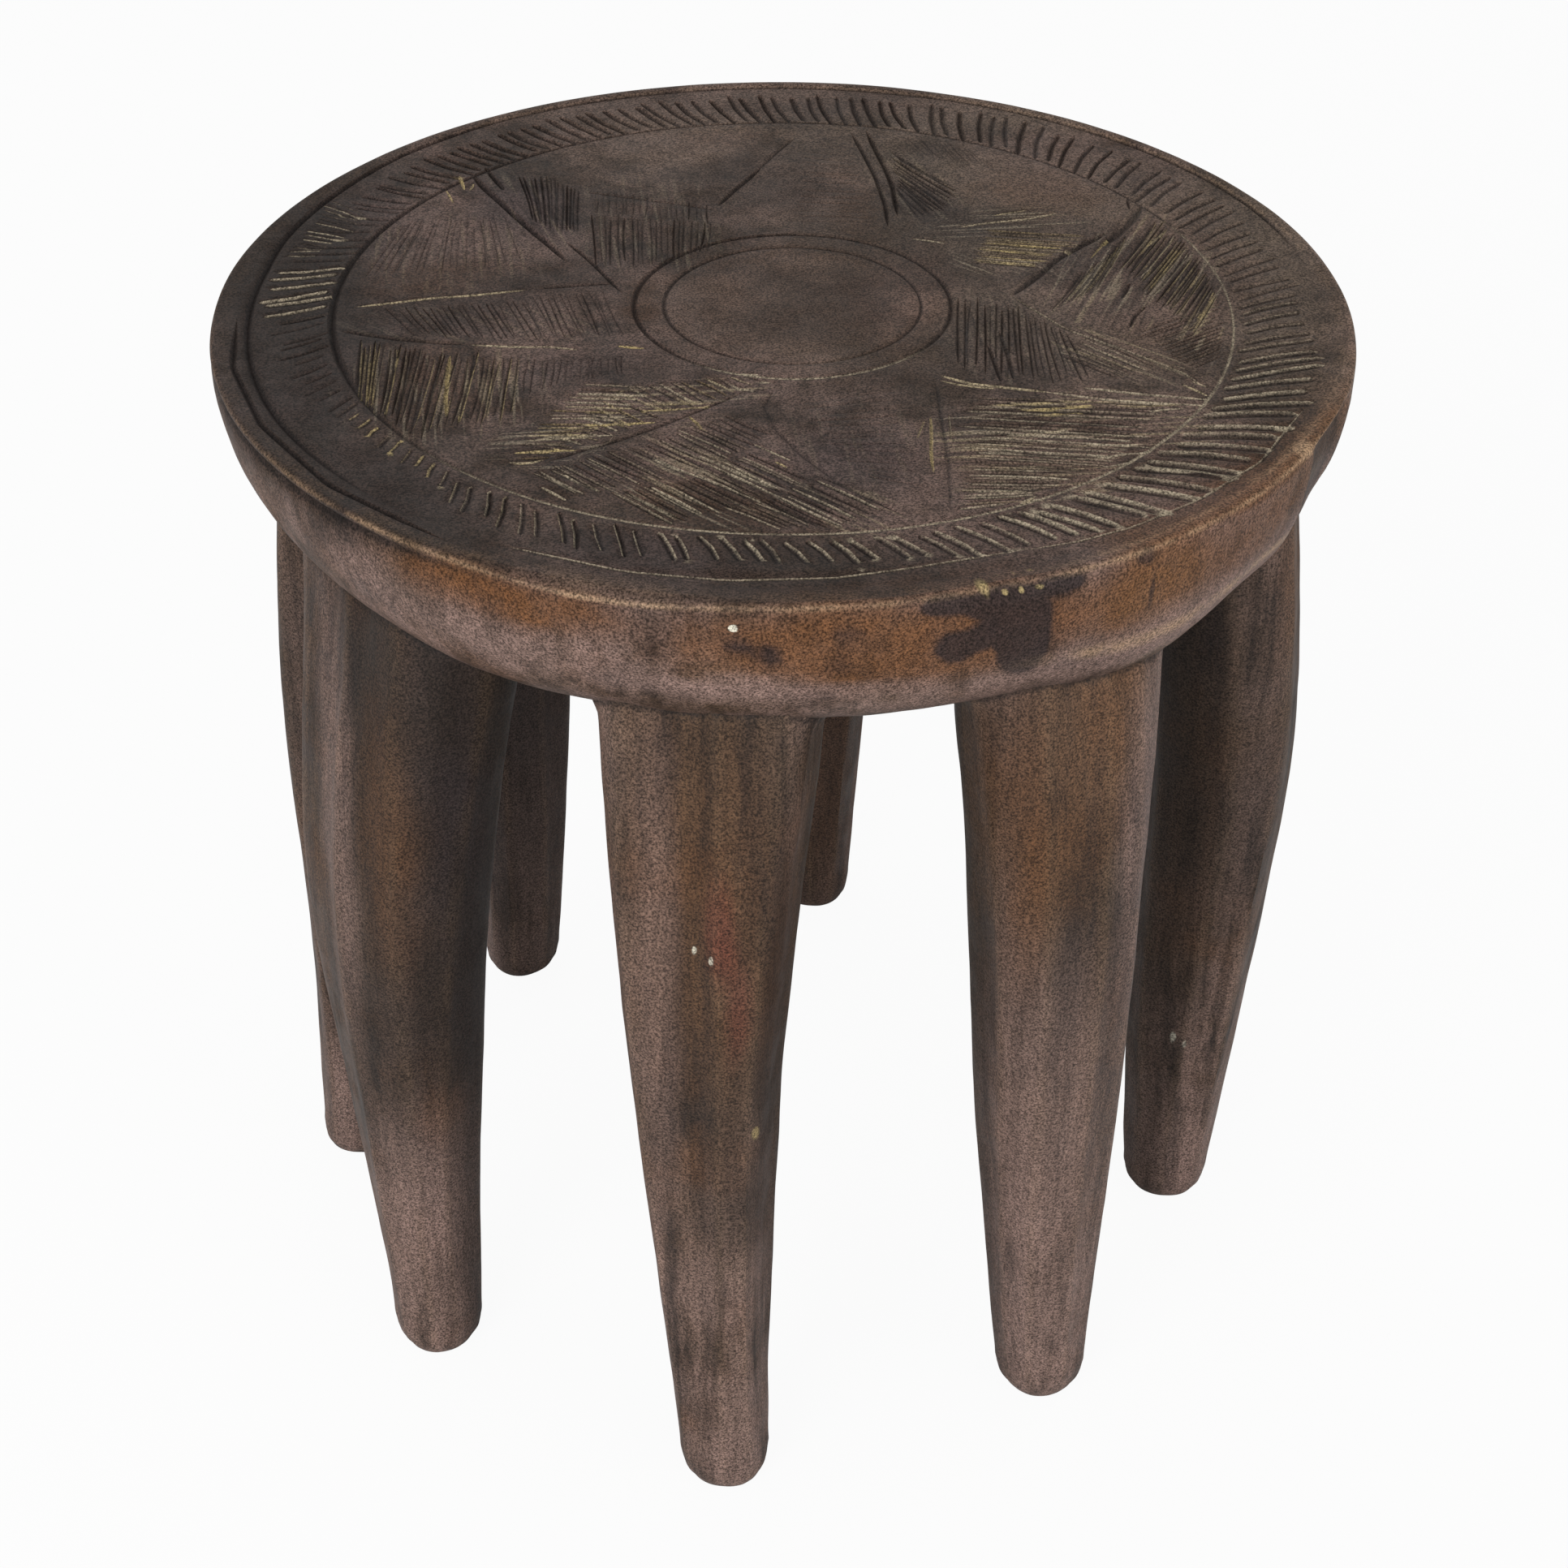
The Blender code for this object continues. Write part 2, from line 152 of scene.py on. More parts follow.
# Hatching: the line its strokes start on, the line they end on, how many, then the four shares as above
HATCH_SHARES = (
    (((-0.515, 0.535), (-0.45, 0.54), (-0.385, 0.49)), ((-0.465, 0.315), (-0.42, 0.275), (-0.375, 0.265)), 8,
     0.9, 0.75, 0.0, 0.0),
    (((-0.365, 0.385), (-0.25, 0.37), (-0.13, 0.33)), ((-0.345, 0.12), (-0.24, 0.14), (-0.135, 0.20)), 12,
     0.8, 0.6, 0.05, 0.0),
    (((-0.36, 0.47), (-0.24, 0.45), (-0.14, 0.41)), ((-0.355, 0.36), (-0.24, 0.34), (-0.135, 0.32)), 11,
     0.8, 0.5, 0.0, 0.0),
    (((0.20, 0.67), (0.205, 0.59), (0.212, 0.47)), ((0.345, 0.47), (0.30, 0.385), (0.245, 0.345)), 9,
     1.1, 1.1, 0.05, 0.0),
    (((0.22, 0.73), (0.28, 0.72), (0.36, 0.68)), ((0.27, 0.63), (0.33, 0.60), (0.40, 0.585)), 7,
     0.9, 0.5, 0.1, 0.1),
    (((0.36, 0.31), (0.345, 0.24), (0.335, 0.165)), ((0.575, 0.285), (0.52, 0.21), (0.465, 0.145)), 12,
     1.0, 0.7, 0.4, 0.55),
    (((0.70, 0.38), (0.75, 0.24), (0.78, 0.06)), ((0.60, 0.15), (0.66, 0.0), (0.71, -0.13)), 17,
     1.0, 0.8, 0.35, 0.35),
    (((0.64, 0.31), (0.60, 0.22), (0.54, 0.14)), ((0.56, 0.06), (0.52, 0.02), (0.465, -0.03)), 11,
     0.9, 0.7, 0.35, 0.25),
    (((0.78, 0.02), (0.775, -0.08), (0.755, -0.19)), ((0.60, -0.11), (0.65, -0.18), (0.70, -0.24)), 9,
     0.9, 0.6, 0.3, 0.2),
    (((0.305, 0.04), (0.36, 0.04), (0.42, 0.0), (0.49, -0.08)),
     ((0.29, -0.24), (0.37, -0.295), (0.45, -0.31), (0.53, -0.29)), 12,
     0.8, 0.65, 0.0, 0.0),
    (((0.52, -0.09), (0.50, -0.14), (0.47, -0.19)), ((0.66, -0.235), (0.62, -0.25), (0.57, -0.28)), 6,
     0.9, 0.6, 0.4, 0.1),
    (((0.282, -0.34), (0.278, -0.50), (0.278, -0.715)),
     ((0.69, -0.37), (0.655, -0.43), (0.61, -0.51), (0.54, -0.57), (0.46, -0.63), (0.37, -0.69)), 23,
     1.1, 0.8, 0.5, 0.16),
    (((-0.10, -0.40), (-0.25, -0.51), (-0.42, -0.605)), ((0.0, -0.48), (-0.13, -0.61), (-0.33, -0.69)), 15,
     1.0, 0.8, 0.35, 0.05),
    (((-0.06, -0.53), (-0.16, -0.61), (-0.28, -0.665)), ((0.05, -0.63), (-0.03, -0.705), (-0.17, -0.775)),
     13, 1.1, 0.9, 0.5, 0.12),
    (((0.05, -0.60), (-0.02, -0.675), (-0.10, -0.71)), ((0.19, -0.725), (0.10, -0.775), (0.0, -0.785)), 10,
     1.1, 0.8, 0.45, 0.05),
    (((-0.06, -0.27), (-0.28, -0.30), (-0.44, -0.59)), ((-0.03, -0.295), (-0.13, -0.375), (-0.39, -0.57)),
     15, 1.1, 0.8, 0.5, 0.3),
    (((-0.35, -0.30), (-0.40, -0.42), (-0.44, -0.53)), ((-0.21, -0.31), (-0.25, -0.42), (-0.33, -0.51)), 9,
     1.0, 0.8, 0.5, 0.35),
    (((-0.735, -0.14), (-0.60, -0.17), (-0.45, -0.19)), ((-0.715, -0.37), (-0.60, -0.51), (-0.45, -0.44)),
     18, 0.9, 0.7, 0.25, 0.4),
    (((-0.71, -0.03), (-0.55, 0.0), (-0.32, 0.06)), ((-0.64, -0.14), (-0.48, -0.16), (-0.27, -0.14)), 19,
     0.8, 0.55, 0.05, 0.0),
    (((-0.44, -0.20), (-0.36, -0.21), (-0.27, -0.20)), ((-0.44, -0.36), (-0.36, -0.30), (-0.26, -0.27)), 9,
     0.9, 0.5, 0.1, 0.0),
    (((-0.70, 0.33), (-0.60, 0.37), (-0.52, 0.37)), ((-0.76, 0.08), (-0.60, 0.09), (-0.46, 0.13)), 12,
     0.8, 0.4, 0.12, 0.1),
    (((-0.86, 0.42), (-0.885, 0.29), (-0.905, 0.16)), ((-0.78, 0.35), (-0.79, 0.26), (-0.85, 0.17)), 8,
     1.1, 0.35, 0.75, 0.0),
    (((0.03, 0.66), (0.02, 0.50), (0.0, 0.33)), ((0.14, 0.63), (0.16, 0.48), (0.17, 0.33)), 9,
     0.7, 0.25, 0.1, 0.1),
    (((0.02, -0.36), (0.06, -0.50), (0.14, -0.62)), ((0.20, -0.32), (0.21, -0.46), (0.24, -0.66)), 8,
     0.7, 0.25, 0.1, 0.1),
)

# Strokes of the border, by azimuth in degrees: how far they lean from the radius in degrees, where they
# end as a share of the radius, then width, depth, pale dust and yellow dust as shares of the full ones
BORDER_SHARES = (
    (0.0, 27.0, 0.930, 1.4, 0.80, 0.30, 0.00),
    (30.0, 22.0, 0.940, 1.5, 1.00, 0.20, 0.00),
    (48.0, 25.0, 0.945, 1.5, 1.40, 0.05, 0.00),
    (66.0, 27.0, 0.950, 1.7, 1.70, 0.00, 0.00),
    (80.0, 19.0, 0.945, 1.5, 1.50, 0.00, 0.00),
    (90.0, 15.0, 0.945, 1.7, 1.80, 0.00, 0.00),
    (104.0, 18.0, 0.945, 1.9, 1.90, 0.00, 0.00),
    (118.0, 16.0, 0.940, 1.9, 1.80, 0.00, 0.00),
    (140.0, 10.0, 0.935, 1.7, 1.50, 0.00, 0.00),
    (152.0, 14.0, 0.915, 1.2, 0.70, 0.05, 0.00),
    (168.0, 18.0, 0.915, 1.1, 0.50, 0.20, 0.00),
    (171.0, 21.0, 0.925, 1.9, 1.20, 1.10, 0.10),
    (181.0, 23.0, 0.925, 1.8, 1.10, 0.90, 0.10),
    (184.0, 25.0, 0.900, 1.0, 0.50, 0.10, 0.00),
    (206.0, 30.0, 0.865, 0.9, 0.50, 0.05, 0.05),
    (209.0, 32.0, 0.840, 1.3, 0.60, 0.30, 0.90),
    (227.0, 33.0, 0.840, 1.4, 0.70, 0.35, 0.90),
    (230.0, 32.0, 0.885, 1.4, 1.00, 0.60, 0.60),
    (250.0, 31.0, 0.900, 1.4, 1.00, 0.70, 0.20),
    (260.0, 30.0, 0.880, 1.7, 1.10, 0.75, 0.00),
    (284.0, 29.0, 0.885, 2.0, 1.30, 0.65, 0.00),
    (288.0, 28.0, 0.905, 2.3, 1.40, 0.70, 0.00),
    (300.0, 26.0, 0.915, 2.6, 1.50, 0.80, 0.00),
    (306.0, 29.0, 0.940, 2.8, 1.50, 0.85, 0.00),
    (325.0, 35.0, 0.950, 2.8, 1.50, 0.85, 0.00),
    (342.0, 34.0, 0.945, 2.4, 1.20, 0.75, 0.00),
    (350.0, 29.0, 0.935, 1.8, 0.90, 0.50, 0.00),
    (360.0, 27.0, 0.930, 1.4, 0.80, 0.30, 0.00),
)

# How far apart the border's strokes are, in degrees, by azimuth
BORDER_PITCH_SHARES = (
    (0.0, 2.40), (45.0, 2.42), (60.0, 2.20), (95.0, 1.95), (145.0, 1.92), (168.0, 2.20),
    (228.0, 2.25), (250.0, 2.38), (300.0, 2.45), (320.0, 2.60), (345.0, 2.60), (360.0, 2.40),
)

# Long arcs cut along the lip: azimuth in degrees and radius of their points, then the four shares of a line
ARC_SHARES = (
    (((184.0, 0.955), (195.0, 0.966), (208.0, 0.968), (222.0, 0.968), (238.0, 0.967)), 1.5, 1.2, 0.0, 0.0),
    (((241.0, 0.931), (255.0, 0.928), (265.0, 0.925), (275.0, 0.915), (283.0, 0.902), (290.0, 0.899),
      (296.0, 0.905)), 0.9, 0.5, 0.75, 0.10),
    (((294.0, 0.903), (300.0, 0.920), (306.0, 0.932), (315.0, 0.941), (325.0, 0.947), (338.0, 0.943)),
     0.9, 0.5, 0.75, 0.20),
    (((28.0, 0.962), (60.0, 0.962), (95.0, 0.962), (124.0, 0.960)), 1.2, 0.2, 0.22, 0.0),
)

# Rings cut into the top by azimuth in degrees: radius as a share of the ring's own, then width, depth and
# pale dust as shares of the full ones
INNER_RING_SHARES = (
    (0.0, 1.0, 1.2, 0.8, 0.05), (90.0, 1.0, 1.1, 0.6, 0.0), (180.0, 1.0, 1.4, 1.0, 0.0),
    (240.0, 1.0, 1.3, 0.8, 0.1), (275.0, 1.0, 0.9, 0.4, 0.3), (320.0, 1.0, 1.1, 0.6, 0.2),
    (360.0, 1.0, 1.2, 0.8, 0.05),
)
HUB_RING_SHARES = (
    (0.0, 1.0, 1.4, 1.1, 0.0), (60.0, 1.0, 1.2, 0.8, 0.0), (140.0, 1.0, 1.6, 1.3, 0.0),
    (220.0, 1.0, 1.3, 1.0, 0.1), (255.0, 1.0, 1.2, 0.6, 0.9), (300.0, 1.0, 1.2, 0.6, 0.9),
    (332.0, 1.0, 1.4, 1.0, 0.1), (360.0, 1.0, 1.4, 1.1, 0.0),
)
STAR_RING_SHARES = (
    (0.0, 1.0, 1.1, 0.5, 0.6), (18.0, 1.0, 1.1, 0.5, 0.7), (30.0, 1.0, 1.1, 0.7, 0.1),
    (60.0, 1.0, 1.1, 0.8, 0.1), (120.0, 1.0, 1.2, 0.9, 0.0), (168.0, 1.005, 1.8, 1.4, 0.0),
    (197.0, 1.0, 2.0, 1.5, 0.0),
    (215.0, 1.0, 1.4, 0.8, 0.1), (245.0, 1.005, 1.1, 0.5, 0.9), (320.0, 1.0, 1.2, 0.6, 1.0),
    (350.0, 1.0, 1.1, 0.5, 0.8), (360.0, 1.0, 1.1, 0.5, 0.6),
)
LIP_FOOT_SHARES = (
    (0.0, 0.955, 1.0, 0.0, 0.0), (15.0, 0.966, 1.0, 0.3, 0.0), (26.0, 0.972, 1.1, 1.1, 0.0),
    (90.0, 0.972, 1.2, 1.2, 0.0), (125.0, 0.972, 1.1, 1.1, 0.0), (140.0, 0.967, 1.3, 1.2, 0.0),
    (150.0, 0.957, 1.4, 1.1, 0.0), (165.0, 0.9475, 1.6, 1.2, 0.0), (172.0, 0.938, 1.9, 1.4, 0.0),
    (185.0, 0.935, 2.2, 1.6, 0.0), (205.0, 0.935, 2.1, 1.5, 0.0), (213.0, 0.935, 1.8, 1.1, 0.0),
    (226.0, 0.935, 1.3, 0.3, 0.0), (236.0, 0.935, 1.0, 0.0, 0.0), (345.0, 0.950, 1.0, 0.0, 0.0),
    (360.0, 0.955, 1.0, 0.0, 0.0),
)

# How far the carving on the top sits from the rim's centre, as a share of the radius
CARVING_SHIFT_SHARES = (0.0, 0.0105)
HUB_SHIFT_SHARES = (0.016, 0.0)

# The lip from its crown out to the arris of the rim: radius as a share of the seat's, drop below the
# rim's top as a share of the rim's rounding
LIP_SHARES = (
    (0.9805, 0.045), (0.984, 0.012), (0.9875, 0.0), (0.991, 0.02), (0.9942, 0.08), (0.9967, 0.18),
    (0.9985, 0.34), (0.9996, 0.58), (1.0, 0.95), (1.0, 1.3), (1.0, 1.7), (1.0, 2.3),
)

# How the rim is worn by azimuth in degrees: how far in and how far down its arris is, as shares of the
# rim's rounding, how deep it is undercut, how pale the arris is, how pale the lip's inner edge is, and
# where the dirt of the top ends as a share of the radius
RIM_WORN_SHARES = (
    (0.0, 0.0, 0.0, 0.0, 0.45, 0.00, 0.990), (60.0, 0.0, 0.0, 0.0, 0.30, 0.00, 0.993),
    (150.0, 0.0, 0.0, 0.0, 0.20, 0.00, 0.995), (185.0, 0.0, 0.0, 0.0, 0.15, 0.00, 0.995),
    (194.0, 0.0, 0.0, 1.1, 0.20, 0.00, 0.995), (215.0, 0.0, 0.0, 1.7, 0.30, 0.00, 0.995),
    (230.0, 0.0, 0.0, 1.3, 0.60, 0.00, 0.995), (238.0, 0.0, 0.15, 0.5, 0.55, 0.00, 0.993),
    (246.0, 0.0, 0.45, 0.1, 0.65, 0.00, 0.990), (251.0, 0.0, 0.75, 0.0, 0.95, 0.00, 0.990),
    (258.0, 0.0, 0.65, 0.0, 1.00, 0.00, 0.990), (264.0, 0.05, 0.25, 0.0, 0.70, 0.00, 0.990),
    (272.0, 0.15, 0.05, 0.0, 0.55, 0.00, 0.988), (280.0, 0.25, 0.0, 0.0, 0.55, 0.00, 0.985),
    (285.0, 0.65, 0.05, 0.0, 0.40, 0.00, 0.980), (290.0, 0.95, 0.05, 0.0, 0.25, 0.00, 0.975),
    (295.0, 0.55, 0.03, 0.0, 0.45, 0.20, 0.972), (300.0, 0.35, 0.0, 0.0, 0.95, 0.80, 0.970),
    (307.0, 0.05, 0.0, 0.0, 0.80, 0.85, 0.970), (330.0, 0.10, 0.0, 0.0, 0.90, 0.90, 0.970),
    (338.0, 0.0, 0.0, 0.0, 0.55, 0.30, 0.972), (346.0, 0.0, 0.0, 0.0, 0.50, 0.00, 0.978),
    (360.0, 0.0, 0.0, 0.0, 0.45, 0.00, 0.990),
)

# The torn fold in the rim: azimuth and half width in degrees of its hollow, and its depth as a share of
# the rim's rounding
FOLD_SHARES = (336.5, 6.0, 1.3)

# Drops below the rim's top and reaches in metres: of the worn band along the arris, and of the undercut
ARRIS_DROP, ARRIS_BAND = 0.0011, 0.0007
UNDERCUT_DROP, UNDERCUT_BAND, UNDERCUT_DEPTH = 0.0042, 0.0012, 0.001

# Heights from the rim's top between which the fold opens and closes, and the painted shade of the underside
# grows
FOLD_OPENS = (-0.0002, -0.004)
FOLD_CLOSES = (-0.028, -0.044)
UNDERSIDE_SHADE = (-0.041, -0.060)

# Where the hand-cut side hangs lower or is tucked higher: azimuth and half width in degrees, share of the
# depth
SIDE_SAG_SHARES = ((205.0, 30.0, -0.045), (240.0, 16.0, 0.02), (309.0, 17.0, 0.10), (332.0, 12.0, 0.03))

# How much each leg is wider or slimmer than its solid, by share of its height from the foot up
LEG_TRIM_SHARES = {
    "leg_front": ((0.0, 1.0), (0.15, 0.98), (0.55, 0.985), (0.8, 1.0), (1.0, 1.0)),
    "leg_front_right": ((0.0, 1.0), (0.3, 1.035), (0.5, 1.03), (0.65, 1.005), (0.8, 0.995), (1.0, 0.98)),
    "leg_right": ((0.0, 1.0), (0.1, 1.03), (0.3, 1.06), (0.5, 1.03), (0.65, 1.0), (1.0, 1.0)),
    "leg_front_left": ((0.0, 1.0), (0.3, 1.0), (0.5, 1.05), (0.7, 1.04), (0.85, 0.99), (1.0, 0.95)),
}

# How far a leg leans to the right of its solid by share of its height, as a share of the seat's radius
LEG_LEAN_SHARES = {
    "leg_front_right": ((0.0, 0.0), (0.4, -0.003), (0.6, -0.008), (0.75, -0.004), (0.9, 0.003),
                        (1.0, 0.003)),
    "leg_right": ((0.0, 0.0), (0.1, -0.005), (0.3, -0.007), (0.5, -0.004), (0.65, 0.0), (1.0, 0.0)),
    "leg_front_left": ((0.0, -0.003), (0.12, -0.006), (0.3, -0.009), (0.5, -0.008), (0.65, -0.003),
                       (0.8, 0.0)),
}


# Each of these makes one setting of the add-on: a plain number, a length, an angle, a count or a colour
def number(name, description, value):
    return FloatProperty(name=name, description=description, default=value)


def metres(name, description, value):
    return FloatProperty(name=name, description=description, default=value, unit='LENGTH')


def tilt(name, description, degrees):
    return FloatProperty(name=name, description=description, default=math.radians(degrees), subtype='ANGLE')


def whole(name, description, value):
    return IntProperty(name=name, description=description, default=value)


def colour(name, description, value):
    return FloatVectorProperty(name=name, description=description, default=value, size=3, subtype='COLOR',
                               min=0.0, max=1.0)


class SeatSizes(bpy.types.PropertyGroup):
    depth: metres("Depth", "Thickness of the seat at its edge", 0.066)
    tuck: metres("Tuck", "How far the side curves in", 0.060)
    belly: metres("Belly", "Sag of the underside", 0.004)
    fullness: number("Fullness", "How full the side's curve is", 1.15)
    rim_round: metres("Rim rounding", "Height of the rounded rim", 0.003)
    lip_rise: metres("Lip rise", "Height of the lip over the field", 0.001)
    lip_edge: number("Lip edge", "Where the cut top ends, as a share of the radius", 0.968)
    dish: metres("Dish", "Fall of the field from its edge to its centre", 0.0003)
    line_width: metres("Line width", "Width of a full incised line", 0.0017)
    line_depth: metres("Line depth", "Depth of a full incised line", 0.0009)
    hatch_density: number("Hatch density", "Strokes of each hatched field, as a share of its count", 1.7)
    border_density: number("Border density", "Strokes of the border, as a share of its own", 1.0)
    hub_radius: metres("Hub radius", "Radius of the outer hub ring", 0.056)
    hub_band: metres("Hub band", "Width of the band between the hub rings", 0.0106)
    ring_radius: metres("Star ring", "Radius of the ring round the star", 0.158)
    mesh_step: metres("Mesh step", "Spacing of the points between the lines", 0.003)
    segments: whole("Segments", "Steps round the rim", 360)
    unevenness: metres("Unevenness", "How far the hand-cut faces wander", 0.0009)


class LegSizes(bpy.types.PropertyGroup):
    height_step: metres("Height step", "Spacing of a leg's rings", 0.0026)
    around: whole("Around", "Points round a leg", 72)
    facets: whole("Facets", "Long hewn facets round a leg", 8)
    facet_share: number("Facet share", "How flat the facets are", 0.75)
    unevenness: metres("Unevenness", "How far the hewn faces wander", 0.0008)
    crease_width: metres("Crease width", "Width of the cut under the seat", 0.0026)
    crease_depth: metres("Crease depth", "Depth of the cut under the seat", 0.0016)
    fillet: metres("Fillet", "Reach of the hollow where a leg spreads into the seat", 0.006)
    head_rise: metres("Head rise", "How far a head runs on inside the seat", 0.030)
    foot_round: metres("Foot rounding", "Height of the rounding of a foot", 0.013)


class WoodColours(bpy.types.PropertyGroup):
    # the darkest brown also paints shade: under the seat, on the legs' inner faces, and on the left and
    # front of the top
    deep: colour("Deep", "Darkest brown of the old wood", (0.026, 0.0175, 0.0135))
    brown: colour("Brown", "Middle brown of the wood", (0.104, 0.061, 0.036))
    olive: colour("Olive", "Yellowish brown of dry patches", (0.125, 0.090, 0.052))
    # the pale bloom also paints light and sheen on the top and the bowl
    haze: colour("Haze", "Pale bloom on the wax", (0.212, 0.156, 0.114))
    warm: colour("Warm", "Orange brown where hands wore the wood", (0.155, 0.064, 0.022))
    # the gold also paints a highlight down the edge of the fold
    gold_and_highlight: colour("Gold", "Palest wear on the arris", (0.42, 0.275, 0.165))
    red: colour("Red", "Reddish heartwood", (0.20, 0.045, 0.032))
    # the pale also paints sheen on the top, on the bowl's lower curve and down the legs' edges, and light
    # from the floor low on the legs
    pale: colour("Pale", "Dry pinkish wood low on the legs", (0.27, 0.178, 0.150))
    # the blue-black also paints shade on the inner side of the right leg
    stain_and_shade: colour("Stain", "Blue-black stains", (0.016, 0.015, 0.019))
    # the purple also tints painted shade, on the top and on the legs
    plum: colour("Plum", "Bluish purple bloom in the dark places", (0.042, 0.033, 0.040))
    # the dust also paints the light on one wall of each cut
    dust: colour("Dust", "Pale dust in the cut lines", (0.36, 0.30, 0.215))
    ochre: colour("Ochre", "Yellow dust in the cut lines", (0.36, 0.275, 0.13))
    chalk: colour("Chalk", "Specks of chalk", (0.72, 0.68, 0.55))
    # this is the painted shade in the cuts, the creases under the seat, the undercut and the fold
    shade: colour("Shade", "The dark of a cut line", (0.010, 0.008, 0.008))


class StageSizes(bpy.types.PropertyGroup):
    distance: metres("Distance", "From the camera to the centre of the rim", 1.068386)
    elevation: tilt("Elevation", "Camera height above the rim", 26.5465)
    pitch: tilt("Pitch", "How far the camera looks down", 35.6784)
    yaw: tilt("Yaw", "How far the camera turns right", 0.0961)
    roll: tilt("Roll", "How far the camera rolls", 0.4795)
    focal_pixels: number("Focal length", "Focal length in pixels of the photograph", 3687.64)
    floor_size: metres("Floor size", "Side of the floor", 12.0)
    floor_drop: metres("Floor drop", "How far the floor lies under the soles", 0.0003)
    floor_white: number("Floor white", "How much of the floor's own white the camera sees", 0.94)
    floor_colour: colour("Floor", "Colour of the floor", (0.80, 0.80, 0.80))
    world_light: number("World light", "Strength of the light from all round", 0.48)


def fractal(points, size, seed, octaves=2):
    """Smooth noise from about -1 to 1 at each point, with features of about that size."""
    offset = Vector((seed * 17.3, seed * 5.1, -seed * 9.7))
    return np.array([noise.fractal(Vector(point) / size + offset, 1.0, 2.0, octaves) for point in points])


def cells(points, size, seed):
    """Shallow scoops of about that size: zero at each scoop's middle and one far from it."""
    offset = Vector((seed * 7.9, -seed * 3.3, seed * 11.1))
    return np.array([noise.voronoi(Vector(point) / size + offset)[0][0] for point in points])


def ease(low, high, values):
    """Zero at one value and one at the other, eased between them."""
    share = np.clip((values - low) / (high - low), 0.0, 1.0)
    return share * share * (3.0 - 2.0 * share)


def by_azimuth(rows, degrees, column):
    """A column of a table whose rows start with an azimuth, read between the rows."""
    return np.interp(np.mod(degrees, 360.0), [row[0] for row in rows], [row[column] for row in rows])


def path_point(points, share):
    """The point at a share of the way along a line of points."""
    steps = [math.dist(a, b) for a, b in zip(points, points[1:])]
    goal = share * sum(steps)
    for (a, b), step in zip(zip(points, points[1:]), steps):
        if goal <= step or b is points[-1]:
            t = min(goal / step, 1.0)
            return np.array([a[0] + (b[0] - a[0]) * t, a[1] + (b[1] - a[1]) * t])
        goal -= step
    return np.array(points[-1])


def beside(points, start, end):
    """How far along a segment each point lies as a share of it, and how far away from it."""
    run = end - start
    share = np.clip(((points - start) @ run) / (run @ run), 0.0, 1.0)
    return share, np.linalg.norm(points - start - share[:, None] * run, axis=1)


class Stroke:
    """One pull of the knife: a tapering V cut along a line of points, in metres.

    Its point is the share of its length that tapers at each end. Its spread is how far the dust on one wall,
    which also paints the light of that wall, goes over to the middle.
    """

    def __init__(self, path, width, depth, dust, ochre, point=0.12, spread=0.25):
        self.path = np.array(path)
        self.spread = spread
        self.width = width
        self.depth = depth
        self.dust = dust
        self.ochre = ochre
        steps = np.linalg.norm(np.diff(self.path, axis=0), axis=1)
        self.along = np.concatenate([[0.0], np.cumsum(steps)]) / steps.sum()
        taper = np.minimum(self.along / point, (1.0 - self.along) / point)
        self.half = width / 2 * np.clip(taper, 0.0, 1.0) ** 0.7

    def near(self, points, margin):
        """Whether each point lies in the box round the stroke, with a margin."""
        low, high = self.path.min(0) - margin, self.path.max(0) + margin
        return ((points >= low) & (points <= high)).all(1)

    def sides(self):
        """The two edges of the cut, without its pointed ends."""
        ahead = np.gradient(self.path, axis=0)
        ahead /= np.linalg.norm(ahead, axis=1)[:, None]
        square = np.stack([-ahead[:, 1], ahead[:, 0]], 1) * self.half[:, None]
        return (self.path + square)[1:-1], (self.path - square)[1:-1]

    def cut(self, points):
        """How deep the cut is at each point as a share of its full depth, and how dusty it is there.

        The dust lies on the wall to the left of the knife's way, where it also paints that wall's light, and
        thins out towards the other wall.
        """
        share = np.zeros(len(points))
        dusty = np.zeros(len(points))
        for index in range(len(self.path) - 1):
            start, end = self.path[index], self.path[index + 1]
            t, away = beside(points, start, end)
            half = self.half[index] + t * (self.half[index + 1] - self.half[index])
            inside = np.clip(1.0 - away / np.maximum(half, 1e-6), 0.0, 1.0)
            share = np.maximum(share, inside * half * 2 / self.width)
            run = end - start
            left = run[0] * (points[:, 1] - start[1]) > run[1] * (points[:, 0] - start[0])
            dust_and_lit_wall = np.where(away < half * 0.5, self.spread, np.where(left, 1.0, self.spread * 0.5))
            dusty = np.maximum(dusty, dust_and_lit_wall * (away < half * 1.2))
        return share, dusty


def stroke_path(points, step, wander, rng, end=0.07):
    """Points a step apart along a line that bends a little, as a hand would, with one more near each end."""
    whole_way = sum(math.dist(a, b) for a, b in zip(points, points[1:]))
    count = max(3, int(whole_way / step))
    shares = np.concatenate([[0.0], np.linspace(end, 1.0 - end, count), [1.0]])
    path = np.array([path_point(points, share) for share in shares])
    ahead = path[-1] - path[0]
    ahead /= np.linalg.norm(ahead)
    bend = rng.normal(0.0, wander) * np.sin(shares * math.pi)
    return path + np.outer(bend, [-ahead[1], ahead[0]])


def on_top(points):
    """Places on the carved top in metres, from their shares of the radius."""
    right, back = CARVING_SHIFT_SHARES
    return [((x + right) * RADIUS, (y + back) * RADIUS) for x, y in points]


def star_strokes(sizes, rng):
    """The lines of the star. A dusty one is slimmer, as the dust fills it."""
    strokes = []
    for points, width, depth, dust, ochre in STAR_SHARES:
        path = stroke_path(on_top(points), 0.005, 0.0002, rng)
        slim = 0.62 if dust + ochre > 0.3 else 1.0
        strokes.append(Stroke(path, sizes.line_width * width * slim, sizes.line_depth * depth, dust, ochre,
                              spread=0.8))
    return strokes


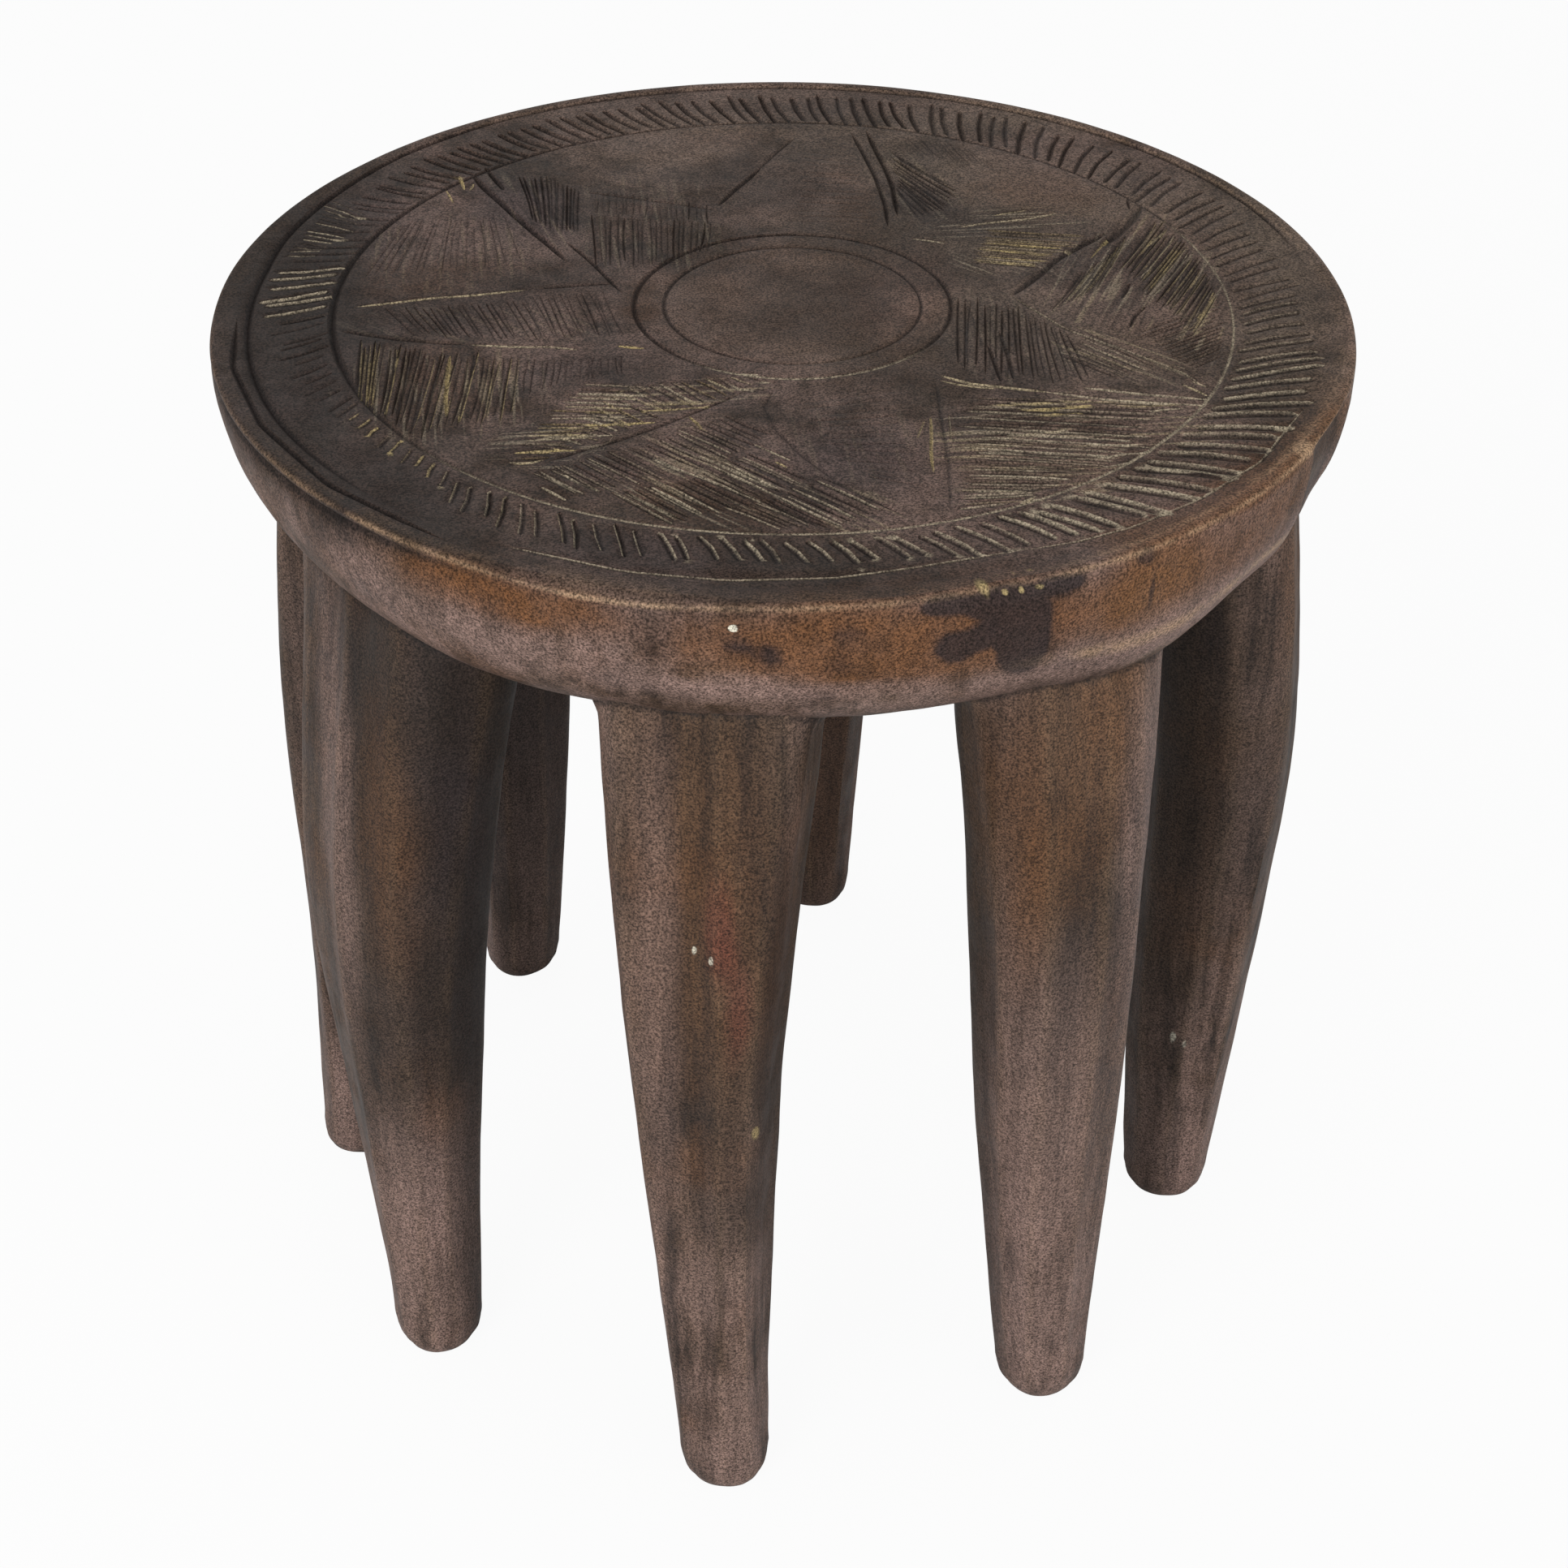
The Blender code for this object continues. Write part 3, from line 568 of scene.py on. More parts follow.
def hatch_strokes(sizes, rng):
    """Strokes from the first line of each hatched field to its second, each with a force of its own."""
    strokes = []
    for starts, ends, plain_count, width, depth, dust, ochre in HATCH_SHARES:
        count = round(plain_count * sizes.hatch_density)
        for index in range(count):
            share = (index + 0.5 + rng.normal(0.0, 0.13)) / count
            start = path_point(starts, min(max(share, 0.0), 1.0))
            end = path_point(ends, min(max(share + rng.normal(0.0, 0.012), 0.0), 1.0))
            run = end - start
            start = start + run * rng.uniform(0.0, 0.12)
            end = end - run * rng.uniform(0.0, 0.12)
            path = stroke_path(on_top([start, end]), 0.006, 0.0004, rng)
            force = rng.uniform(0.65, 1.2)
            wide = sizes.line_width * width * rng.uniform(0.8, 1.15)
            deep = sizes.line_depth * depth * force
            strokes.append(Stroke(path, wide, deep, dust * rng.uniform(0.0, 1.7),
                                  ochre * rng.uniform(0.0, 1.7)))
    return strokes


def border_strokes(sizes, rng):
    """Leaning strokes all round, from the star's ring towards the lip."""
    strokes = []
    place = 0.0
    while place < 359.0:
        pitch = by_azimuth(BORDER_PITCH_SHARES, place, 1) / sizes.border_density
        azimuth = place + rng.normal(0.0, 0.08) * pitch
        place += pitch
        lean, outer, width, depth, dust, ochre = [by_azimuth(BORDER_SHARES, azimuth, k) for k in range(1, 7)]
        angle = math.radians(azimuth)
        lean = math.radians(lean + rng.normal(0.0, 2.0))
        inner = sizes.ring_radius / RADIUS + 0.004 + rng.uniform(0.0, 0.016)
        reach = (outer - rng.uniform(0.0, 0.022) - inner) * RADIUS
        out = np.array([math.cos(angle), math.sin(angle)])
        around = np.array([-out[1], out[0]])
        start = out * inner * RADIUS
        end = start + reach * (out + around * math.tan(lean))
        middle = (start + end) / 2 + around * reach * 0.04
        # the knife's way sets which wall gets the dust and its painted light, so that the pale walls face
        # the viewer on both sides
        places = [tuple(start), tuple(middle), tuple(end)]
        path = stroke_path(places[::-1] if out[0] < -0.25 else places, 0.005, 0.0003, rng)
        wide = sizes.line_width * width * rng.uniform(0.85, 1.15)
        deep = sizes.line_depth * depth * rng.uniform(0.7, 1.15)
        pale = dust * rng.uniform(0.75, 1.35)
        yellow = ochre * rng.uniform(0.3, 1.5)
        strokes.append(Stroke(path, wide, deep, pale, yellow, point=0.08, spread=0.0))
    return strokes


def arc_strokes(sizes, rng):
    """The long arcs cut along the lip."""
    strokes = []
    for places, width, depth, dust, ochre in ARC_SHARES:
        path = []
        for azimuth, radius in places:
            angle = math.radians(azimuth)
            path.append((radius * math.cos(angle) * RADIUS, radius * math.sin(angle) * RADIUS))
        strokes.append(Stroke(stroke_path(path, 0.005, 0.0001, rng), sizes.line_width * width,
                              sizes.line_depth * depth, dust, ochre))
    return strokes


class Ring:
    """A ring cut into the top, whose radius, width, depth and dust change with the azimuth, in metres."""

    def __init__(self, radius, centre, rows, sizes):
        self.radius = radius
        self.centre = centre
        self.rows = rows
        self.sizes = sizes

    def half(self, degrees):
        """Half the cut's width at each azimuth."""
        return by_azimuth(self.rows, degrees, 2) * self.sizes.line_width / 2

    def away(self, points):
        """The azimuth of each point about the ring's centre, and how far it lies from the ring."""
        x, y = points[:, 0] - self.centre[0], points[:, 1] - self.centre[1]
        degrees = np.degrees(np.arctan2(y, x))
        return degrees, np.hypot(x, y) - self.radius * by_azimuth(self.rows, degrees, 1)

    def cut(self, points):
        """How deep the cut is, as shares of its own depth and of a full line's, and how much dust it has."""
        degrees, away = self.away(points)
        share = np.clip(1.0 - np.abs(away) / self.half(degrees), 0.0, 1.0)
        return share, by_azimuth(self.rows, degrees, 3), by_azimuth(self.rows, degrees, 4)

    def line(self, side):
        """Points along the ring, on its middle or on one of its edges."""
        count = max(120, int(self.radius * math.tau / (self.sizes.mesh_step * 0.9)))
        degrees = np.arange(count) * 360.0 / count
        reach = self.radius * by_azimuth(self.rows, degrees, 1) + side * self.half(degrees)
        angles = np.radians(degrees)
        return np.stack([reach * np.cos(angles), reach * np.sin(angles)], 1) + np.array(self.centre)


def rings(sizes):
    """The rings round the hub, the star and the foot of the lip."""
    hub = on_top([HUB_SHIFT_SHARES])[0]
    return (
        Ring(sizes.hub_radius - sizes.hub_band, hub, INNER_RING_SHARES, sizes),
        Ring(sizes.hub_radius, hub, HUB_RING_SHARES, sizes),
        Ring(sizes.ring_radius, on_top([(0.0, 0.0)])[0], STAR_RING_SHARES, sizes),
        Ring(RADIUS, (0.0, 0.0), LIP_FOOT_SHARES, sizes),
    )


def field_level(points, sizes):
    """Height of the plain field, and of the lip round it, under the cuts."""
    radii = np.hypot(points[:, 0], points[:, 1])
    foot = by_azimuth(LIP_FOOT_SHARES, np.degrees(np.arctan2(points[:, 1], points[:, 0])), 1) * RADIUS
    crown = LIP_SHARES[2][0] * RADIUS
    lip = np.clip((radii - foot) / (crown - foot), 0.0, 1.0) ** 0.7
    flat = np.column_stack([points, np.zeros(len(points))])
    wave = fractal(flat, 0.045, 1) * 0.35 + fractal(flat, 0.011, 2) * 0.08
    fall = sizes.lip_rise + sizes.dish * (1.0 - np.clip(radii / RADIUS, 0.0, 1.0) ** 2)
    return RIM_TOP - fall * (1.0 - lip) + wave * sizes.unevenness * 0.6 * (1.0 - 0.7 * lip)


def carve(points, strokes, sizes):
    """Height of the carved top at each point, and how much cut, pale dust and yellow dust it has."""
    level = field_level(points, sizes)
    deepest = np.zeros(len(points))
    cut = np.zeros(len(points))
    dust = np.zeros(len(points))
    ochre = np.zeros(len(points))
    for stroke in strokes:
        near = np.flatnonzero(stroke.near(points, stroke.width))
        share, dusty = stroke.cut(points[near])
        deepest[near] = np.maximum(deepest[near], share * stroke.depth)
        cut[near] = np.maximum(cut[near], share * min(1.0, stroke.depth / sizes.line_depth))
        dust[near] = np.maximum(dust[near], dusty * stroke.dust)
        ochre[near] = np.maximum(ochre[near], dusty * stroke.ochre)
    for ring in rings(sizes):
        share, deep, dusty = ring.cut(points)
        deepest = np.maximum(deepest, share * deep * sizes.line_depth)
        cut = np.maximum(cut, share * np.minimum(deep, 1.0))
        dust = np.maximum(dust, share * dusty)
    return level - deepest, cut, dust, ochre


def circle(radius, count):
    """Points round the seat's axis, from azimuth zero."""
    angles = np.arange(count) * math.tau / count
    return np.stack([radius * np.cos(angles), radius * np.sin(angles)], 1)


def top_edge(sizes):
    """Radius where the cut top meets the lathed lip."""
    return sizes.lip_edge * RADIUS + sizes.line_width


class Sheet:
    """Gathers points and lines for one flat triangulation."""

    def __init__(self):
        self.points = []
        self.lines = []

    def add(self, points):
        """Takes up more points and gives their numbers."""
        start = len(self.points)
        self.points += [tuple(point) for point in points]
        return list(range(start, len(self.points)))

    def chain(self, indices, closed=False):
        """Joins numbered points by lines."""
        self.lines += list(zip(indices, indices[1:]))
        if closed:
            self.lines.append((indices[-1], indices[0]))


def top_sheet(strokes, sizes):
    """Flat triangles over the top and the inner part of its lip, with an edge along every cut."""
    sheet = Sheet()
    foot = top_edge(sizes)
    sheet.chain(sheet.add(circle(foot, sizes.segments)), closed=True)
    for ring in rings(sizes):
        for side in (-1.0, 0.0, 1.0):
            sheet.chain(sheet.add(ring.line(side)), closed=True)
    for stroke in strokes:
        middle = sheet.add(stroke.path)
        left, right = stroke.sides()
        sheet.chain(middle)
        sheet.chain([middle[0]] + sheet.add(left) + [middle[-1]] + sheet.add(right)[::-1], closed=True)
    for point in filler_points(strokes, foot, sizes):
        sheet.add([point])
    scale = 1.0 / MM
    flat = [Vector((x * scale, y * scale)) for x, y in sheet.points]
    points, lines, faces = geometry.delaunay_2d_cdt(flat, sheet.lines, [], 0, 1e-4)[:3]
    if not faces:
        raise RuntimeError("The seat's top couldn't be laid out as faces")
    return np.array([(point.x, point.y) for point in points]) * MM, faces


def filler_points(strokes, foot, sizes):
    """Points in rows over the plain wood, kept clear of every cut."""
    rng = np.random.default_rng(FILLER_SEED)
    step = sizes.mesh_step
    rows = []
    for row in range(int(-foot / step), int(foot / step) + 1):
        xs = np.arange(-foot, foot, step) + (row % 2) * step / 2
        rows.append(np.column_stack([xs, np.full(len(xs), row * step * 0.9)]))
    points = np.concatenate(rows)
    points = points + rng.uniform(-0.2, 0.2, points.shape) * step
    clear = np.hypot(points[:, 0], points[:, 1]) < foot - step * 0.6
    for stroke in strokes:
        near = np.flatnonzero(stroke.near(points, step) & clear)
        for start, end in zip(stroke.path, stroke.path[1:]):
            away = beside(points[near], start, end)[1]
            clear[near[away < stroke.width * 0.5 + step * 0.22]] = False
    for ring in rings(sizes):
        degrees, away = ring.away(points)
        clear &= np.abs(away) > ring.half(degrees) + step * 0.25
    return points[clear]


def side_profile(sizes):
    """The seat's section from the lip's crown over the rim and down the side to the axis: radius, height."""
    rows = [(share * RADIUS, -drop * sizes.rim_round) for share, drop in LIP_SHARES]
    side_drop = sizes.depth - sizes.rim_round
    edge = RADIUS - sizes.tuck
    first, side_steps, under_steps = 5.0, 21, 28
    for step in range(side_steps + 1):
        angle = math.radians(first + (90.0 - first) * step / side_steps)
        across = math.cos(angle) ** (1.0 / sizes.fullness)
        down = math.sin(angle) ** (1.0 / sizes.fullness)
        rows.append((edge + sizes.tuck * across, -sizes.rim_round - side_drop * down))
    for step in range(1, under_steps + 1):
        share = 1.0 - step / under_steps
        rows.append((edge * share, -sizes.depth - sizes.belly * (1.0 - share * share)))
    return np.array(rows)


def side_sag(degrees):
    """How much lower the side hangs at each azimuth, as a share of the seat's depth."""
    sag = np.zeros(np.shape(degrees))
    for centre, width, share in SIDE_SAG_SHARES:
        away = np.abs((degrees - centre + 180.0) % 360.0 - 180.0)
        sag = sag + share * (1.0 - ease(0.0, width, away))
    return sag


def underside_height(radii, degrees, sizes):
    """Height of the seat's side and underside over a leg, at a radius and azimuth."""
    profile = side_profile(sizes)[len(LIP_SHARES):]
    drop = np.interp(radii, profile[::-1, 0], profile[::-1, 1])
    lower = ease(-sizes.rim_round, -sizes.depth * 0.7, drop)
    return RIM_TOP + drop - side_sag(degrees) * sizes.depth * lower


def fold_depth(degrees, drop, sizes):
    """How far the torn fold is cut in at each azimuth, at a drop below the rim's top."""
    centre, width, share = FOLD_SHARES
    away = (degrees - centre) / width
    hollow = np.clip(1.0 - away * away, 0.0, 1.0) ** 0.8
    down = float(ease(*FOLD_OPENS, drop) * (1.0 - ease(*FOLD_CLOSES, drop)))
    return hollow * share * sizes.rim_round * down


def rim_wear(radii, degrees, drop):
    """Wear on the lip and rim: along the arris, and along the lip's inner edge."""
    arris = np.exp(-((drop + ARRIS_DROP) / ARRIS_BAND) ** 2) * (radii > 0.975 * RADIUS)
    inner = np.exp(-((radii / RADIUS - 0.9735) / 0.0035) ** 2)
    outer_wear = by_azimuth(RIM_WORN_SHARES, degrees, 4) * arris
    return np.maximum(outer_wear, by_azimuth(RIM_WORN_SHARES, degrees, 5) * inner)


def rim_soil(radii, degrees):
    """One over the dirty top, fading to zero where the rim is handled."""
    edge = by_azimuth(RIM_WORN_SHARES, degrees, 6)
    return 1.0 - ease(edge - 0.005, edge + 0.005, radii / RADIUS)


def band(first, second, count):
    """Faces between two rings, from the numbers of their first points."""
    faces = []
    for index in range(count):
        after = (index + 1) % count
        faces.append((first + index, second + index, second + after, first + after))
    return faces


def lathe(sizes):
    """The lip, side and underside as rings of points, cut by hand: points, faces and masks."""
    profile = side_profile(sizes)
    count = sizes.segments
    angles = np.arange(count) * math.tau / count
    degrees = np.degrees(angles)
    inward, down, under = [by_azimuth(RIM_WORN_SHARES, degrees, column) for column in (1, 2, 3)]
    points = []
    masks = {"cut": [], "wear": [], "soil": [], "painted_shade": []}
    for row, (radius, drop) in enumerate(profile[:-1]):
        on_lip = row < len(LIP_SHARES)
        lower = float(ease(-sizes.rim_round, -sizes.depth * 0.7, np.array(drop)))
        ring = np.stack([radius * np.cos(angles), radius * np.sin(angles), np.full(count, drop)], 1)
        wave = fractal(ring, 0.055, 3) * 0.8 + fractal(ring, 0.016, 4) * 0.18
        hewn = cells(ring, 0.026, 6) * (0.35 + 1.4 * ease(-0.05, -0.066, drop))
        shift = (wave - hewn * 0.6) * sizes.unevenness * (0.4 if on_lip else 1.0)
        grown = np.minimum(radius + shift * (1.0 - lower * 0.6), RADIUS) if row else np.full(count, radius)
        height = drop - side_sag(degrees) * sizes.depth * lower - np.abs(shift) * lower * 1.3
        if on_lip:
            worn = float(ease(0.975, 0.9967, radius / RADIUS) * (1.0 - ease(-0.001, -0.0065, drop)))
            grown = grown - inward * sizes.rim_round * worn
            height = drop + np.minimum(shift * 0.5, 0.0) * (row > 0) - down * sizes.rim_round * worn
        undercut = math.exp(-((drop + UNDERCUT_DROP) / UNDERCUT_BAND) ** 2) * under
        fold = fold_depth(degrees, drop, sizes)
        grown = grown - undercut * UNDERCUT_DEPTH - fold
        points.append(np.stack([grown * np.cos(angles), grown * np.sin(angles), RIM_TOP + height], 1))
        # the undercut and the fold, the fold in stripes, get painted shade
        stripes = 0.5 + 0.5 * np.cos(np.radians((degrees - FOLD_SHARES[0]) * 100.0))
        masks["cut"].append(np.maximum(undercut * 0.8, fold / sizes.rim_round * (0.35 + 0.5 * stripes)))
        masks["wear"].append(rim_wear(grown, degrees, drop))
        masks["soil"].append(rim_soil(np.full(count, radius), degrees) * on_lip)
        # painted shade, growing down the side onto the underside
        masks["painted_shade"].append(np.full(count, float(ease(*UNDERSIDE_SHADE, drop))))
    points.append(np.array([[0.0, 0.0, RIM_TOP + profile[-1, 1]]]))
    for key, last in (("cut", 0.0), ("wear", 0.0), ("soil", 0.0), ("painted_shade", 1.0)):
        masks[key] = np.append(np.concatenate(masks[key]), last)
    faces = []
    middle = (len(profile) - 1) * count
    for ring in range(count, middle, count):
        faces += band(ring - count, ring, count)
    last = middle - count
    faces += [(last + index, middle, last + (index + 1) % count) for index in range(count)]
    return np.concatenate(points), faces, masks


def new_piece(name, points, faces, masks):
    """A mesh object with one named value per point for each mask."""
    mesh = bpy.data.meshes.new(name)
    mesh.from_pydata([tuple(point) for point in points], [], [tuple(face) for face in faces])
    mesh.update()
    for key, values in masks.items():
        layer = mesh.attributes.new(key, 'FLOAT', 'POINT')
        layer.data.foreach_set("value", np.asarray(values, np.float32))
    piece = bpy.data.objects.new(name, mesh)
    bpy.context.scene.collection.objects.link(piece)
    return piece


def tidy_mesh(piece, merge):
    """Joins points that touch, turns every face out and shades it smooth, apart from sharp cuts."""
    work = bmesh.new()
    work.from_mesh(piece.data)
    bmesh.ops.remove_doubles(work, verts=work.verts, dist=merge)
    bmesh.ops.dissolve_degenerate(work, edges=work.edges, dist=merge / 10)
    bmesh.ops.recalc_face_normals(work, faces=work.faces)
    work.to_mesh(piece.data)
    work.free()
    piece.data.shade_smooth()
    piece.data.set_sharp_from_angle(angle=math.radians(38.0))


def dress(piece, node, material):
    """Puts a piece on the stool in place of its solid."""
    piece.data.materials.append(material)
    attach(piece, "root")
    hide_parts(node)


def plain_sections(node, heights, around):
    """Centre and radii of a solid leg at each height, with angle 0 pointing out from the stool's axis."""
    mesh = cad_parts[node].data
    points = np.array([vertex.co for vertex in mesh.vertices])
    edges = np.array([edge.vertices for edge in mesh.edges])
    start, end = points[edges[:, 0]], points[edges[:, 1]]
    middle = points.mean(0)
    azimuth = math.atan2(middle[1], middle[0])
    angles = np.arange(around) * math.tau / around
    centres, radii = [], []
    for height in heights:
        low, high = np.minimum(start[:, 2], end[:, 2]), np.maximum(start[:, 2], end[:, 2])
        cross = (low <= height) & (high > height)
        t = (height - start[cross, 2]) / (end[cross, 2] - start[cross, 2])
        section = start[cross, :2] + t[:, None] * (end[cross, :2] - start[cross, :2])
        centre = (section.min(0) + section.max(0)) / 2
        offset = section - centre
        turned = (np.arctan2(offset[:, 1], offset[:, 0]) - azimuth) % math.tau
        order = np.argsort(turned)
        reach = np.hypot(offset[:, 0], offset[:, 1])
        radii.append(np.interp(angles, turned[order], reach[order], period=math.tau))
        centres.append(centre)
    return azimuth, np.array(centres), np.array(radii)


def blur_rows(values, reach):
    """Averages each row with its neighbours, with fading weights."""
    span = int(reach * 3)
    weights = np.exp(-0.5 * (np.arange(-span, span + 1) / reach) ** 2)
    weights /= weights.sum()
    padded = np.concatenate([np.repeat(values[:1], span, 0), values, np.repeat(values[-1:], span, 0)])
    return sum(weight * padded[index:index + len(values)] for index, weight in enumerate(weights))


def edge_sheen_band(angles):
    """One along a leg's two outer edges, where a painted sheen lies."""
    away = np.abs(np.abs((angles + math.pi) % math.tau - math.pi) - math.radians(68.0))
    return np.exp(-(away / math.radians(20.0)) ** 2)


def leg_rings(node, sizes, seat):
    """The leg's azimuth, and the height, centre and radii of each ring from its sole up into the seat."""
    # the solid's own sections end below its scribed head
    head_start = RIM_TOP - seat.depth - seat.belly - 0.004
    heights = np.arange(sizes.foot_round, head_start, sizes.height_step)
    foot = sizes.foot_round * (1.0 - np.cos(np.radians(np.linspace(6.0, 84.0, 7))))
    heights = np.concatenate([foot, heights])
    azimuth, centres, radii = plain_sections(node, heights, sizes.around)
    keep = ease(0.008, 0.030, heights)[:, None]
    centres = centres * (1 - keep) + blur_rows(centres, 3.5) * keep
    radii = radii * (1 - keep) + blur_rows(radii, 3.5) * keep
    # the head goes on along the slope of the last rings
    back = 8
    run = heights[-1] - heights[-1 - back]
    head_end = RIM_TOP - seat.depth + sizes.head_rise
    rise = np.arange(heights[-1] + sizes.height_step, head_end, sizes.height_step)
    grow = (rise - heights[-1])[:, None]
    centres = np.concatenate([centres, centres[-1] + (centres[-1] - centres[-1 - back]) / run * grow])
    radii = np.concatenate([radii, radii[-1] + (radii[-1] - radii[-1 - back]) / run * grow])
    return azimuth, np.concatenate([heights, rise]), centres, radii


def hewn_facets(heights, angles, count, rng):
    """The reach of flat facets as a share of a round leg's, and the ridges between them, at each point."""
    edges = (np.arange(count) + rng.uniform(-0.28, 0.28, count)) * math.tau / count
    sway = rng.uniform(0.0, math.tau, count)
    flat = np.zeros((len(heights), len(angles)))
    ridge = np.zeros_like(flat)
    for row, height in enumerate(heights):
        lines = np.sort((edges + 0.10 * np.sin(height / 0.09 + sway)) % math.tau)
        after = np.searchsorted(lines, angles) % len(lines)
        low = lines[after - 1]
        span = (lines[after] - low) % math.tau
        place = (angles - low) % math.tau
        flat[row] = np.cos(span / 2) / np.cos(place - span / 2)
        ridge[row] = np.exp(-(np.minimum(place, span - place) / 0.07) ** 2)
    return flat, ridge


def leg_relief(points, outward, sideways, seed, sizes, seat):
    """How far out each point of a leg moves, and how much of the cut under the seat runs through it."""
    long = points * np.array([1.0, 1.0, 0.28])
    wave = fractal(long, 0.020, seed) * 0.55 + fractal(long, 0.007, seed + 20) * 0.16
    scoop = cells(points * np.array([1.0, 1.0, 0.4]), 0.013, seed + 3)
    shift = (wave - scoop * 0.35) * sizes.unevenness
    distance = np.hypot(points[:, 0], points[:, 1])
    degrees = np.degrees(np.arctan2(points[:, 1], points[:, 0]))
    gap = underside_height(distance, degrees, seat) - points[:, 2]
    crease = np.exp(-(gap / (sizes.crease_width * 0.7)) ** 2) * (0.35 + 0.65 * ease(-0.2, 0.5, outward))
    hollow = np.clip(1.0 - np.clip(gap, 0.0, None) / sizes.fillet, 0.0, 1.0) ** 2
    spread = hollow * (0.35 + 0.65 * ease(0.3, 0.9, sideways)) * sizes.fillet * 0.5
    shift = shift - crease * sizes.crease_depth + spread * (1.0 - ease(0.2, 0.8, outward))
    return shift, crease


def leg_faces(rows, around):
    """Faces over a leg's rings, its sole and its top.

    The sole's ring follows the others in the mesh, with its middle and the top's middle after it.
    """
    faces = []
    for row in range(rows - 1):
        for index in range(around):
            after = (index + 1) % around
            lower, upper = row * around, (row + 1) * around
            faces.append((lower + index, lower + after, upper + after, upper + index))
    sole = rows * around
    top = (rows - 1) * around
    for index in range(around):
        after = (index + 1) % around
        faces.append((sole + index, sole + after, after, index))
        faces.append((sole + around, sole + after, sole + index))
        faces.append((sole + around + 1, top + index, top + after))
    return faces


def leg_surface(node, seed, sizes, seat):
    """Points of a hewn leg, its faces and its masks."""
    azimuth, heights, centres, radii = leg_rings(node, sizes, seat)
    angles = np.arange(sizes.around) * math.tau / sizes.around
    flat, ridge = hewn_facets(heights, angles, sizes.facets, np.random.default_rng(seed))
    fade = ease(0.0, 0.04, heights)[:, None]
    shares = heights / (RIM_TOP - seat.depth)
    trim = np.array(LEG_TRIM_SHARES.get(node, ((0.0, 1.0), (1.0, 1.0))))
    lean = np.array(LEG_LEAN_SHARES.get(node, ((0.0, 0.0), (1.0, 0.0))))
    radii = radii * (1.0 + (flat - 0.97) * sizes.facet_share * fade)
    radii = radii * np.interp(shares, trim[:, 0], trim[:, 1])[:, None]
    centres[:, 0] += np.interp(shares, lean[:, 0], lean[:, 1]) * RADIUS
    across = np.stack([np.cos(azimuth + angles), np.sin(azimuth + angles)], 1)
    points = centres[:, None, :] + radii[:, :, None] * across[None]
    levels = np.broadcast_to(heights[:, None, None], radii.shape + (1,))
    points = np.concatenate([points, levels], 2).reshape(-1, 3)
    outward = np.tile(np.cos(angles), len(heights))
    sideways = np.abs(np.tile(np.sin(angles), len(heights)))
    shift, crease = leg_relief(points, outward, sideways, seed, sizes, seat)
    points[:, :2] += np.tile(across, (len(heights), 1)) * shift[:, None]
    sole = points[:sizes.around] * np.array([0.93, 0.93, 0.0]) + np.append(centres[0] * 0.07, 0.0)
    ends = [np.append(centres[0], 0.0)[None], np.append(centres[-1], heights[-1])[None]]
    points = np.concatenate([points, sole] + ends)
    spare = len(points) - len(crease)
    masks = {
        # the crease under the seat gets painted shade
        "cut": np.append(crease, np.zeros(spare)),
        "wear": np.append(ridge.ravel() * 0.08, np.zeros(spare)),
        # painted shade on the leg's inner faces, and all over its sole and top
        "painted_shade": np.append(ease(0.25, -0.5, outward), np.ones(spare)),
        "edge": np.append(np.tile(edge_sheen_band(angles), len(heights)), np.zeros(spare)),
    }
    masks.update(tone_masks(points, LEG_PATCHES))
    return points, leg_faces(len(heights), sizes.around), masks


class Wire:
    """A value in a shader: sums, products and the like of wires and numbers add the Math nodes for them."""

    def __init__(self, kit, socket):
        self.kit = kit
        self.socket = socket

    def maths(self, operation, first, second):
        """A Math node on two values."""
        return self.kit.node('ShaderNodeMath', {"operation": operation},
                             {"Value": first, "Value_001": second})

    def __add__(self, other):
        return self.maths('ADD', self, other)

    def __radd__(self, other):
        return self.maths('ADD', other, self)

    def __sub__(self, other):
        return self.maths('SUBTRACT', self, other)

    def __mul__(self, other):
        return self.maths('MULTIPLY', self, other)

    def __rmul__(self, other):
        return self.maths('MULTIPLY', other, self)


